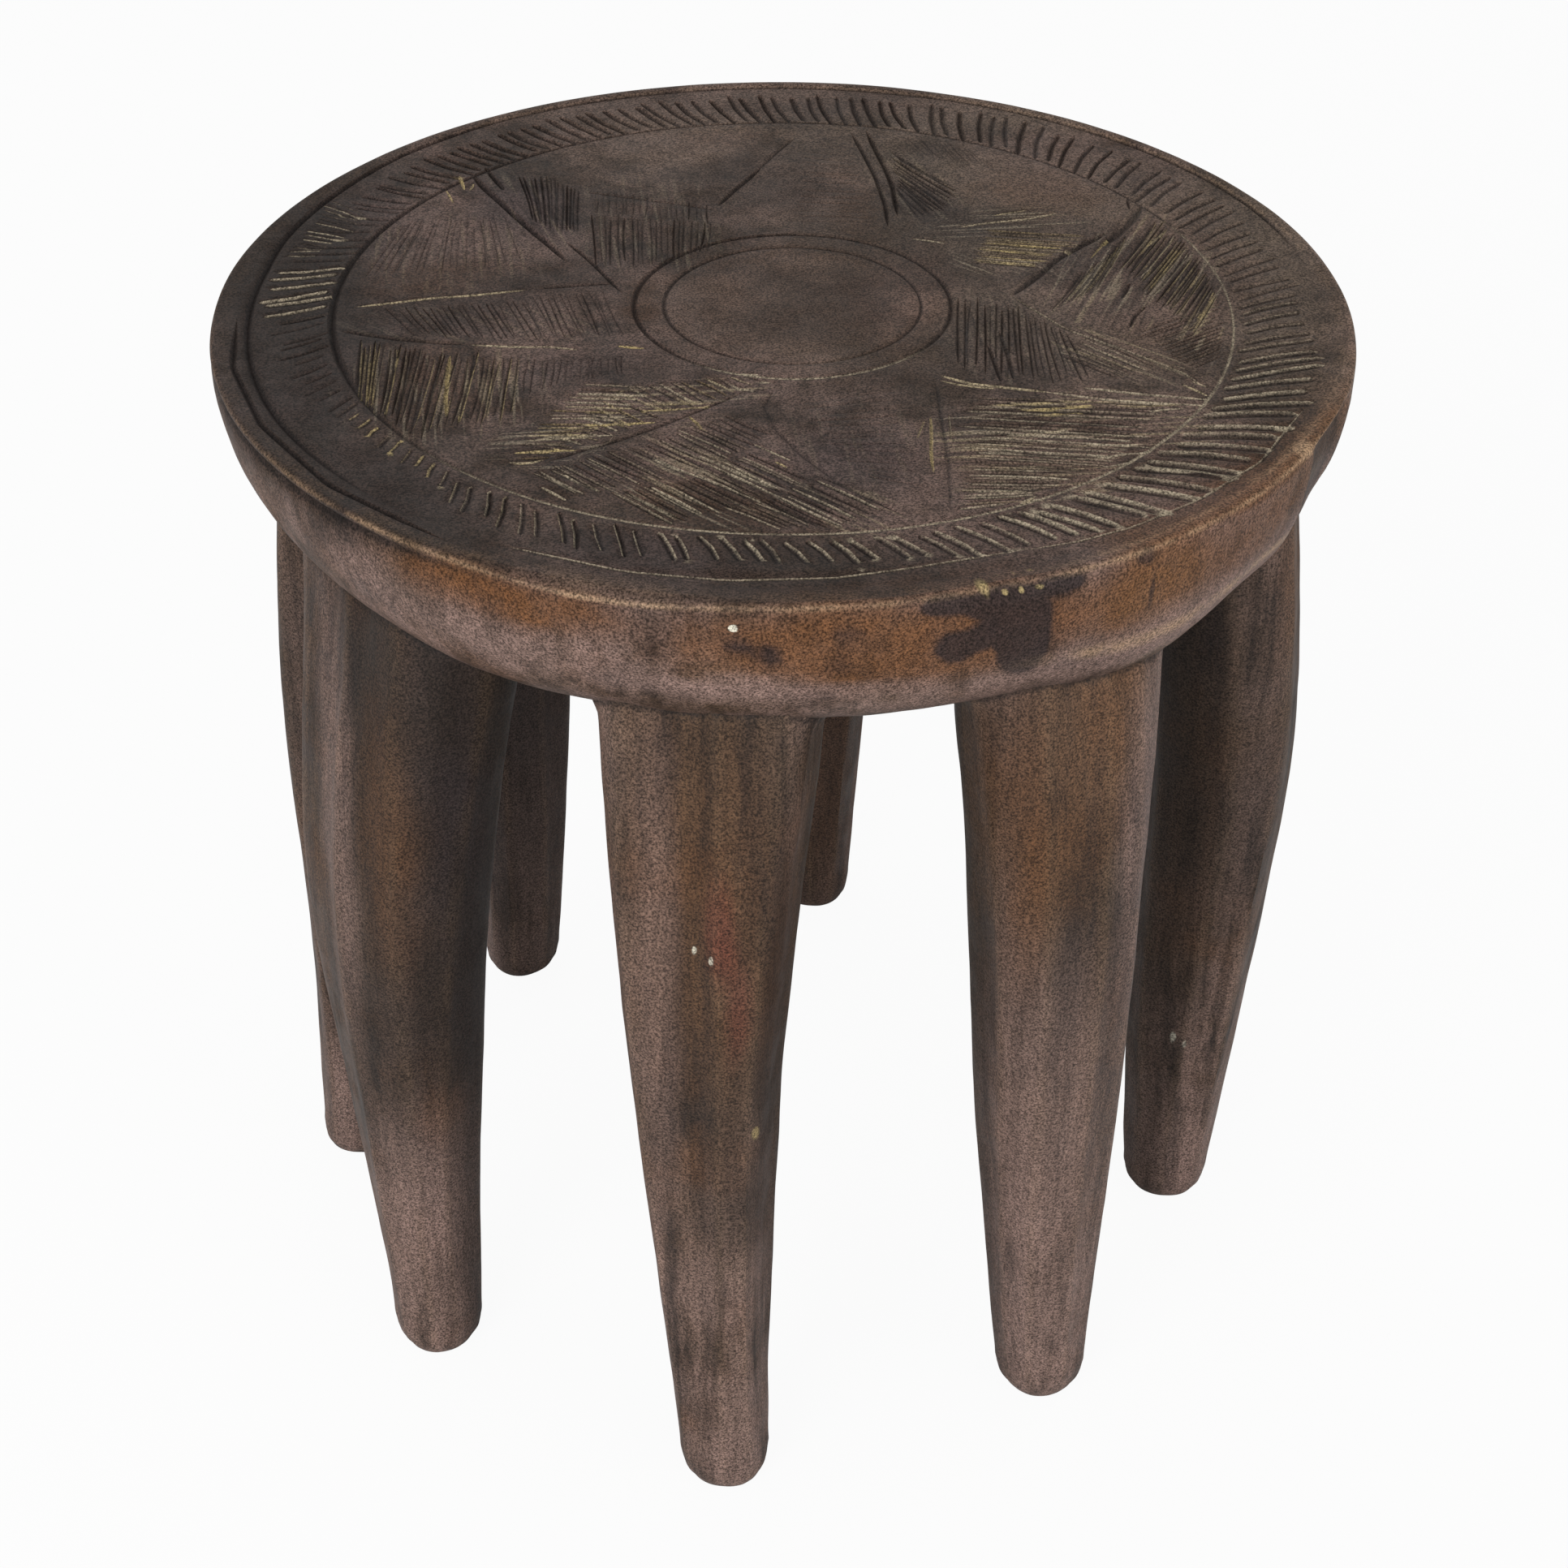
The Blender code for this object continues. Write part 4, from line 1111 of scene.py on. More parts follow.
class ShaderKit:
    """Adds nodes to one material and wires them up."""

    def __init__(self, name):
        self.material = bpy.data.materials.new(name)
        self.material.use_nodes = True
        self.tree = self.material.node_tree
        self.tree.nodes.clear()

    def feed(self, socket, value):
        """Links a wire to a socket, or sets the socket to a plain value."""
        if isinstance(value, Wire):
            self.tree.links.new(value.socket, socket)
        else:
            socket.default_value = value

    def node(self, kind, settings=None, inputs=None, output=0):
        """Adds a node, sets it, feeds its sockets by their identifiers and gives one output as a wire."""
        made = self.tree.nodes.new(kind)
        for key, value in (settings or {}).items():
            setattr(made, key, value)
        sockets = {socket.identifier: socket for socket in made.inputs}
        for key, value in (inputs or {}).items():
            self.feed(sockets[key], value)
        if not made.outputs:
            return made
        outputs = {socket.identifier: socket for socket in made.outputs}
        return Wire(self, outputs[output] if isinstance(output, str) else made.outputs[output])

    def mix(self, factor, first, second):
        """The first colour where the factor is zero and the second where it is one."""
        return self.node('ShaderNodeMix', {"data_type": 'RGBA'},
                         {"Factor_Float": factor, "A_Color": first, "B_Color": second}, "Result_Color")

    def mask(self, value, low, high):
        """Zero below one value and one above the other, eased between them."""
        return self.node('ShaderNodeMapRange', {"interpolation_type": 'SMOOTHSTEP'},
                         {"Value": value, "From Min": low, "From Max": high})

    def value(self, name):
        """A mask of the mesh by its name, or zero where the mesh has none of that name."""
        return self.node('ShaderNodeAttribute', {"attribute_name": name}, output="Fac")

    def stretch(self, point, scale):
        """The point with each coordinate times its own scale."""
        return self.node('ShaderNodeVectorMath', {"operation": 'MULTIPLY'},
                         {"Vector": point, "Vector_001": scale})

    def noise(self, point, scale, detail=3.0, roughness=0.55, distortion=0.0):
        """Smooth noise about one half, with more cells to the metre where the scale is higher."""
        return self.node('ShaderNodeTexNoise', {}, {"Vector": point, "Scale": scale, "Detail": detail,
                                                    "Roughness": roughness, "Distortion": distortion}, "Fac")

    def patch(self, point, centre, size, turn, soft):
        """One inside an ellipsoid, fading to zero outside it."""
        place = self.node('ShaderNodeMapping', {"vector_type": 'TEXTURE'},
                          {"Vector": point, "Location": centre, "Rotation": (0.0, 0.0, math.radians(turn)),
                           "Scale": size})
        away = self.node('ShaderNodeVectorMath', {"operation": 'LENGTH'}, {"Vector": place}, "Value")
        return self.mask(away, 1.0 + soft, 1.0 - soft)


# The colours that patches lay over the wood, from the first to the last
TONES = ("brown", "haze", "plum", "deep", "warm", "pale", "red", "gold_and_highlight", "stain_and_shade")

# Patches of the top: centre and half size as shares of the seat's radius, the turn in degrees, then the
# colour, its strength and its softness. The hazy and pale patches towards the right and back paint light
# and sheen on the top, and the deep and purple patches towards the left and front paint its shade.
TOP_PATCHES = (
    (0.21, 0.03, 0.08, 0.19, -10.0, "warm", 0.45, 0.5),
    (-0.25, 0.0, 0.03, 0.08, 0.0, "warm", 0.5, 0.5),
    (0.03, 0.06, 0.16, 0.13, 0.0, "brown", 0.35, 0.6),
    (0.14, 0.05, 0.05, 0.07, 0.0, "deep", 0.20, 0.6),
    (0.40, -0.13, 0.12, 0.15, 0.0, "plum", 0.12, 0.5),
    (-0.48, 0.40, 0.09, 0.16, 25.0, "plum", 0.6, 0.5),
    (0.27, 0.43, 0.06, 0.13, 20.0, "plum", 0.40, 0.5),
    (0.20, 0.50, 0.24, 0.22, 0.0, "haze", 0.85, 0.6),
    (0.12, -0.55, 0.10, 0.11, 0.0, "plum", 0.5, 0.6),
    (-0.82, -0.28, 0.10, 0.26, 12.0, "plum", 0.65, 0.5),
    (-0.62, -0.64, 0.18, 0.10, -42.0, "plum", 0.55, 0.5),
    (-0.22, -0.84, 0.16, 0.06, -12.0, "plum", 0.6, 0.5),
    (-0.80, 0.34, 0.10, 0.22, -20.0, "plum", 0.45, 0.6),
    (-0.36, -0.24, 0.10, 0.06, 0.0, "plum", 0.4, 0.6),
    (-0.60, -0.30, 0.11, 0.14, 0.0, "warm", 0.40, 0.6),
    (-0.13, -0.69, 0.12, 0.07, -15.0, "warm", 0.50, 0.5),
    (0.13, 0.44, 0.05, 0.17, 6.0, "warm", 0.40, 0.6),
    (-0.10, 0.73, 0.10, 0.05, 0.0, "warm", 0.22, 0.6),
    (0.48, 0.47, 0.13, 0.10, -30.0, "warm", 0.28, 0.6),
    (-0.62, 0.10, 0.14, 0.07, 10.0, "warm", 0.25, 0.6),
    (0.68, 0.08, 0.13, 0.28, -5.0, "warm", 0.30, 0.6),
    (0.45, -0.50, 0.17, 0.13, 0.0, "warm", 0.22, 0.6),
    (-0.30, 0.58, 0.2, 0.12, 0.0, "haze", 0.20, 0.7),
    (0.20, 0.86, 0.35, 0.08, -8.0, "haze", 0.30, 0.6),
    (0.75, 0.45, 0.12, 0.2, 30.0, "haze", 0.25, 0.6),
    (0.62, 0.12, 0.22, 0.42, 0.0, "haze", 0.85, 0.6),
    (0.87, 0.05, 0.11, 0.60, 0.0, "haze", 0.95, 0.6),
    (0.10, 0.86, 0.60, 0.12, 0.0, "haze", 0.85, 0.6),
    (0.40, 0.28, 0.20, 0.14, 20.0, "haze", 0.90, 0.6),
    (0.45, -0.48, 0.20, 0.16, 0.0, "haze", 0.30, 0.6),
    (0.06, 0.02, 0.24, 0.22, 0.0, "brown", 0.60, 0.6),
    (0.04, 0.02, 0.22, 0.20, 0.0, "warm", 0.22, 0.6),
    (0.12, 0.00, 0.16, 0.22, 0.0, "haze", 0.40, 0.6),
    (0.02, 0.02, 0.22, 0.20, 0.0, "haze", 0.35, 0.5),
    (0.00, 0.62, 0.45, 0.16, 0.0, "haze", 0.45, 0.6),
    (0.32, -0.05, 0.20, 0.22, 0.0, "haze", 0.50, 0.6),
    (0.00, 0.01, 0.20, 0.18, 0.0, "pale", 0.30, 0.5),
    (0.22, 0.06, 0.08, 0.18, -10.0, "pale", 0.56, 0.6),
    (0.02, 0.50, 0.15, 0.14, 0.0, "pale", 0.50, 0.6),
    (0.62, 0.11, 0.20, 0.22, 0.0, "pale", 0.60, 0.6),
    (0.41, -0.04, 0.12, 0.10, 0.0, "haze", 0.55, 0.6),
    (0.44, -0.42, 0.20, 0.12, 0.0, "pale", 0.20, 0.6),
    (-0.12, 0.93, 0.60, 0.11, 0.0, "pale", 0.56, 0.6),
    (-0.66, -0.05, 0.18, 0.16, 0.0, "deep", 0.35, 0.6),
    (-0.25, -0.22, 0.12, 0.06, 0.0, "deep", 0.35, 0.6),
    (-0.88, 0.00, 0.15, 0.55, 0.0, "deep", 0.95, 0.5),
    (-0.62, -0.70, 0.40, 0.12, -42.0, "deep", 0.55, 0.5),
    (0.05, -0.90, 0.42, 0.11, 4.0, "deep", 0.60, 0.5),
    (-0.60, 0.05, 0.20, 0.13, 5.0, "deep", 0.60, 0.6),
)

# Patches of the rim: azimuth in degrees, drop below the rim's top, half width along the rim and half
# height as shares of the seat's radius, then the colour, its strength and its softness
RIM_PATCHES = (
    (281.0, 0.085, 0.40, 0.085, "warm", 0.86, 0.45),
    (306.0, 0.085, 0.13, 0.090, "warm", 1.00, 0.45),
    (306.0, 0.080, 0.10, 0.070, "gold_and_highlight", 0.10, 0.60),
    (320.0, 0.090, 0.15, 0.080, "warm", 0.60, 0.60),
    (335.0, 0.045, 0.16, 0.045, "warm", 0.65, 0.80),
    (350.0, 0.055, 0.14, 0.050, "warm", 0.35, 0.90),
    (322.0, 0.000, 0.42, 0.016, "warm", 0.75, 0.50),
    (244.0, 0.055, 0.20, 0.042, "warm", 0.95, 0.50),
    # the pale rows low on the side, and the hazy row after them, paint the floor's reflection on the bowl's
    # lower curve
    (229.0, 0.115, 0.24, 0.055, "pale", 0.42, 0.60),
    (266.0, 0.176, 0.26, 0.024, "pale", 0.85, 0.55),
    (292.0, 0.200, 0.14, 0.022, "pale", 0.55, 0.55),
    (316.0, 0.195, 0.30, 0.050, "pale", 0.90, 0.55),
    (322.0, 0.170, 0.30, 0.060, "pale", 0.40, 0.60),
    (190.0, 0.100, 0.35, 0.080, "haze", 0.30, 0.60),
    (284.5, 0.010, 0.040, 0.018, "stain_and_shade", 0.85, 0.40),
    (289.5, 0.018, 0.065, 0.024, "stain_and_shade", 0.90, 0.35),
    (295.0, 0.014, 0.040, 0.018, "stain_and_shade", 0.82, 0.40),
    (292.3, 0.110, 0.044, 0.080, "stain_and_shade", 0.90, 0.35),
    (291.2, 0.060, 0.048, 0.044, "stain_and_shade", 0.85, 0.40),
    (288.0, 0.080, 0.034, 0.036, "stain_and_shade", 0.80, 0.45),
    (285.4, 0.095, 0.042, 0.034, "stain_and_shade", 0.85, 0.40),
    (276.0, 0.062, 0.034, 0.026, "stain_and_shade", 0.50, 0.60),
    (275.0, 0.115, 0.034, 0.026, "stain_and_shade", 0.36, 0.70),
    (266.0, 0.078, 0.024, 0.030, "stain_and_shade", 0.62, 0.60),
    (268.8, 0.100, 0.022, 0.034, "stain_and_shade", 0.60, 0.60),
    (304.3, 0.017, 0.017, 0.012, "stain_and_shade", 0.65, 0.40),
    (305.5, 0.089, 0.005, 0.033, "stain_and_shade", 0.60, 0.40),
    (265.8, 0.031, 0.0075, 0.0075, "chalk", 1.00, 0.20),
    (288.0, 0.009, 0.012, 0.010, "ochre", 0.90, 0.30),
    (290.2, 0.005, 0.005, 0.004, "ochre", 0.85, 0.30),
    (291.6, 0.006, 0.004, 0.006, "ochre", 0.85, 0.30),
    (293.2, 0.004, 0.007, 0.004, "ochre", 0.80, 0.30),
    (329.0, 0.004, 0.024, 0.010, "gold_and_highlight", 0.85, 0.40),
    # painted highlight down the edge of the fold
    (332.0, 0.085, 0.008, 0.075, "gold_and_highlight", 0.45, 0.50),
)

# Patches of the legs: centre and half size as shares of the seat's radius, with z from the rim's top, then
# the turn in degrees, the colour, its strength and its softness
LEG_PATCHES = (
    ((-0.11, -0.96, -0.70), (0.15, 0.3, 0.28), 0.0, "warm", 0.25, 0.6),
    ((-0.095, -0.963, -0.66), (0.020, 0.1, 0.09), 0.0, "red", 0.42, 0.7),
    ((-0.072, -0.963, -0.82), (0.018, 0.1, 0.09), 0.0, "red", 0.32, 0.7),
    ((0.53, -0.82, -0.36), (0.11, 0.25, 0.13), 0.0, "haze", 0.45, 0.7),
    # pale low on the legs: dry worn wood with painted light from the floor
    ((0.47, -0.84, -1.15), (0.12, 0.25, 0.32), 0.0, "pale", 0.50, 0.6),
    ((0.50, -0.80, -1.68), (0.16, 0.30, 0.28), 0.0, "pale", 0.55, 0.6),
    ((-0.62, -0.62, -1.68), (0.16, 0.30, 0.28), 0.0, "pale", 0.50, 0.6),
    ((-0.61, -0.64, -0.36), (0.17, 0.25, 0.20), 0.0, "deep", 0.95, 0.6),
    # narrow pale bands down the edges of the front legs: painted sheen
    ((0.64, -0.74, -0.60), (0.06, 0.14, 0.45), 0.0, "pale", 0.80, 0.6),
    ((-0.77, -0.58, -0.65), (0.035, 0.14, 0.45), 0.0, "pale", 0.60, 0.6),
    ((-0.165, -0.955, -0.72), (0.020, 0.1, 0.22), 0.0, "deep", 0.55, 0.7),
    ((-0.145, -0.915, -0.33), (0.06, 0.2, 0.05), 0.0, "deep", 0.50, 0.8),
    ((-0.03, -0.95, -0.62), (0.030, 0.1, 0.20), 0.0, "deep", 0.55, 0.7),
    ((-0.01, -0.93, -0.85), (0.034, 0.1, 0.60), 0.0, "deep", 0.80, 0.6),
    ((-0.11, -0.95, -0.85), (0.12, 0.2, 0.40), 0.0, "deep", 0.30, 0.7),
    ((0.47, -0.83, -0.75), (0.13, 0.2, 0.36), 0.0, "deep", 0.30, 0.7),
    ((0.86, -0.12, -0.85), (0.12, 0.2, 0.40), 0.0, "deep", 0.50, 0.7),
    ((-0.62, -0.60, -1.20), (0.15, 0.2, 0.32), 0.0, "deep", 0.55, 0.8),
    ((-0.95, 0.0, -0.75), (0.12, 0.25, 0.50), 0.0, "deep", 0.50, 0.7),
    ((-0.055, -0.96, -1.30), (0.060, 0.1, 0.10), 0.0, "deep", 0.50, 0.7),
    ((-0.10, -0.96, -1.12), (0.030, 0.1, 0.09), 0.0, "deep", 0.45, 0.7),
    ((0.42, -0.85, -0.70), (0.035, 0.1, 0.19), 0.0, "warm", 0.40, 0.7),
    ((0.56, -0.80, -0.33), (0.07, 0.2, 0.12), 0.0, "warm", 0.50, 0.6),
    ((0.46, -0.82, -0.45), (0.14, 0.2, 0.22), 0.0, "warm", 0.45, 0.6),
    ((-0.14, -0.94, -0.42), (0.12, 0.2, 0.20), 0.0, "warm", 0.12, 0.6),
    ((0.08, 0.88, -1.45), (0.25, 0.4, 0.60), 0.0, "warm", 0.60, 0.7),
    # painted sheen down the left edge of the front leg
    ((-0.20, -0.93, -0.80), (0.035, 0.2, 0.50), 0.0, "pale", 0.40, 0.6),
    ((0.38, -0.86, -0.42), (0.05, 0.2, 0.17), 0.0, "deep", 0.50, 0.7),
    ((0.47, -0.84, -0.93), (0.05, 0.2, 0.16), 0.0, "deep", 0.35, 0.7),
    # painted shade on the inner side of the right leg
    ((0.78, -0.10, -0.42), (0.10, 0.20, 0.38), 0.0, "stain_and_shade", 0.60, 0.6),
    ((0.93, -0.10, -0.36), (0.05, 0.20, 0.22), 0.0, "warm", 0.45, 0.6),
    ((-0.67, -0.67, -0.70), (0.045, 0.2, 0.25), 0.0, "warm", 0.35, 0.7),
    # painted shade down the right side of the front left leg
    ((-0.55, -0.62, -0.80), (0.050, 0.2, 0.75), 0.0, "plum", 0.95, 0.6),
    ((-0.60, 0.62, -0.90), (0.25, 0.3, 0.70), 0.0, "plum", 0.70, 0.7),
    ((-0.63, -0.66, -0.85), (0.14, 0.2, 0.50), 0.0, "deep", 0.78, 0.8),
    ((-0.62, -0.64, -1.05), (0.05, 0.2, 0.12), 0.0, "deep", 0.50, 0.7),
    ((-0.62, -0.64, -1.38), (0.04, 0.2, 0.07), 0.0, "warm", 0.35, 0.7),
    ((-0.139, -0.957, -0.700), (0.004, 0.02, 0.010), 0.0, "chalk", 0.7, 0.3),
    ((-0.112, -0.957, -0.706), (0.004, 0.02, 0.010), 0.0, "chalk", 0.6, 0.3),
    ((-0.038, -0.958, -1.100), (0.008, 0.02, 0.016), 0.0, "ochre", 0.8, 0.3),
    ((0.790, -0.170, -1.520), (0.006, 0.05, 0.018), 0.0, "chalk", 0.8, 0.3),
    ((0.815, -0.165, -1.540), (0.005, 0.05, 0.012), 0.0, "chalk", 0.6, 0.3),
)

# Fields of fine scratches on the top: their direction in degrees, then for each field its centre and half
# size as shares of the seat's radius, its turn in degrees, and how strong its pale and its dark scratches
# are
SCRATCH_SHARES = (
    (6.0, ((0.47, -0.46, 0.25, 0.15, 8.0, 0.55, 0.60), (0.40, -0.61, 0.15, 0.09, 10.0, 0.40, 0.50),
           (-0.20, -0.37, 0.18, 0.08, 20.0, 0.55, 0.45), (-0.37, -0.50, 0.11, 0.08, 20.0, 0.50, 0.40),
           (0.42, 0.34, 0.16, 0.07, 15.0, 0.45, 0.25))),
    (-41.0, ((-0.16, -0.62, 0.24, 0.10, -32.0, 0.50, 0.55), (0.03, -0.68, 0.17, 0.09, -20.0, 0.40, 0.50),
             (-0.52, -0.08, 0.24, 0.07, 0.0, 0.12, 0.40), (0.57, -0.17, 0.14, 0.09, -40.0, 0.40, 0.45),
             (0.40, 0.17, 0.10, 0.06, -20.0, 0.45, 0.30))),
    (-84.0, ((-0.57, -0.33, 0.17, 0.17, 0.0, 0.35, 0.50), (-0.60, 0.20, 0.18, 0.15, 0.0, 0.14, 0.25),
             (-0.24, 0.28, 0.13, 0.15, 0.0, 0.20, 0.45), (-0.25, 0.47, 0.16, 0.07, -10.0, 0.12, 0.35),
             (0.38, -0.12, 0.09, 0.18, 8.0, 0.14, 0.45), (0.12, -0.48, 0.12, 0.17, 0.0, 0.08, 0.20))),
    (-72.0, ((-0.47, 0.40, 0.07, 0.18, 22.0, 0.20, 0.50), (0.25, 0.50, 0.07, 0.19, 20.0, 0.18, 0.50))),
    (71.0, ((0.62, 0.12, 0.14, 0.27, -12.0, 0.45, 0.55), (0.73, 0.03, 0.06, 0.26, -4.0, 0.40, 0.45))),
)


def top_patches():
    """The top's patches in the form of the legs'."""
    return tuple(((x, y, 0.0), (wide, high, 0.1), *rest) for x, y, wide, high, *rest in TOP_PATCHES)


def rim_patches():
    """The rim's patches in the form of the legs'."""
    made = []
    for azimuth, drop, width, height, key, strength, soft in RIM_PATCHES:
        angle = math.radians(azimuth)
        reach = 1.0 - 1.28 * drop * drop
        place = (math.cos(angle) * reach, math.sin(angle) * reach, -drop)
        depth = 0.035 if drop < 0.04 and width < 0.10 else 0.10
        made.append((place, (width, depth, height), azimuth - 270.0, key, strength, soft))
    return tuple(made)


def inside_patch(points, centre, size, turn, soft):
    """One inside an ellipsoid and fading to zero outside it, at each point."""
    away = points - np.array(centre)
    angle = math.radians(turn)
    x = away[:, 0] * math.cos(angle) + away[:, 1] * math.sin(angle)
    y = away[:, 1] * math.cos(angle) - away[:, 0] * math.sin(angle)
    reach = np.sqrt((x / size[0]) ** 2 + (y / size[1]) ** 2 + (away[:, 2] / size[2]) ** 2)
    return 1.0 - ease(1.0 - soft, 1.0 + soft, reach)


def in_shares(points):
    """Places as shares of the seat's radius, with z from the rim's top, moved about a little."""
    # noise vectors differ from run to run until a seed is set
    noise.seed_set(PATCH_SEED)
    loose = np.array([noise.noise_vector(Vector(point) * 45.0) for point in points]) * 0.0028
    return (points + loose - np.array([0.0, 0.0, RIM_TOP])) / RADIUS


def tone_masks(points, patches):
    """How much of each colour the wide patches lay over the wood, at each point."""
    places = in_shares(points)
    masks = {"tone_" + key: np.zeros(len(points)) for key in TONES}
    for centre, size, turn, key, strength, soft in patches:
        if is_wide(size):
            cover = inside_patch(places, centre, size, turn, soft) * strength
            masks["tone_" + key] = 1.0 - (1.0 - masks["tone_" + key]) * (1.0 - cover)
    return masks


def is_wide(size):
    """Whether a patch is wide enough to be laid on the points of the mesh."""
    return min(size[0], size[2]) > 0.0135


def scratch_masks(points):
    """Fine scratches: their place along and across, and how pale and how dark they are, at each point."""
    places = points / RADIUS
    flat = np.column_stack([places[:, :2], np.zeros(len(points))])
    best, along, across, pale, dark = (np.zeros(len(points)) for _ in range(5))
    for direction, fields in SCRATCH_SHARES:
        angle = math.radians(direction)
        for x, y, wide, high, turn, paleness, darkness in fields:
            inside = inside_patch(flat, (x, y, 0.0), (wide, high, 1.0), turn, 0.25)
            chosen = inside > best
            best[chosen] = inside[chosen]
            along[chosen] = (points[:, 0] * math.cos(angle) + points[:, 1] * math.sin(angle))[chosen]
            across[chosen] = (points[:, 1] * math.cos(angle) - points[:, 0] * math.sin(angle))[chosen]
            pale[chosen] = (inside * paleness)[chosen]
            dark[chosen] = (inside * darkness)[chosen]
    return {"along": along, "across": across, "scratch_pale": pale, "scratch_dark": dark}


def seat_surface(sizes, patches):
    """Points of the carved seat, its faces and its masks."""
    rng = np.random.default_rng(CARVING_SEED)
    strokes = star_strokes(sizes, rng) + hatch_strokes(sizes, rng) + border_strokes(sizes, rng)
    strokes += arc_strokes(sizes, rng)
    flat, sheet_faces = top_sheet(strokes, sizes)
    # the lathed lip starts on the sheet's outer ring
    flat = np.concatenate([flat, circle(top_edge(sizes), sizes.segments)])
    height, cut, dust, ochre = carve(flat, strokes, sizes)
    radii = np.hypot(flat[:, 0], flat[:, 1])
    degrees = np.degrees(np.arctan2(flat[:, 1], flat[:, 0]))
    side, side_faces, side_masks = lathe(sizes)
    points = np.concatenate([np.column_stack([flat, height]), side])
    faces = [tuple(face) for face in sheet_faces]
    faces += band(len(flat) - sizes.segments, len(flat), sizes.segments)
    faces += [tuple(len(flat) + index for index in face) for face in side_faces]
    plain = np.zeros(len(side))
    masks = {
        "cut": np.concatenate([cut, side_masks["cut"]]),
        "dust": np.concatenate([dust, plain]),
        "ochre": np.concatenate([ochre, plain]),
        "wear": np.concatenate([rim_wear(radii, degrees, height - RIM_TOP), side_masks["wear"]]),
        "painted_shade": np.concatenate([np.zeros(len(flat)), side_masks["painted_shade"]]),
        "soil": np.concatenate([rim_soil(radii, degrees), side_masks["soil"]]),
    }
    masks.update(tone_masks(points, patches))
    masks.update(scratch_masks(points))
    return points, faces, masks


# How each wood differs: how fine its noise is along x, y and z, how blotchy its grain is, how much darker
# it is than its colours, how much of it is dry, the height under which it grows pale, and its shine
SEAT_WOOD = {
    "fibre": (95.0, 95.0, 50.0), "blotch": 0.45, "darker": 0.0,
    "dry": 0.65, "pale_from": -0.10, "shine": 0.12,
}
LEG_WOOD = {
    "fibre": (150.0, 150.0, 9.0), "blotch": 0.22, "darker": 0.045,
    "dry": 0.10, "pale_from": 0.26, "shine": 0.20,
}


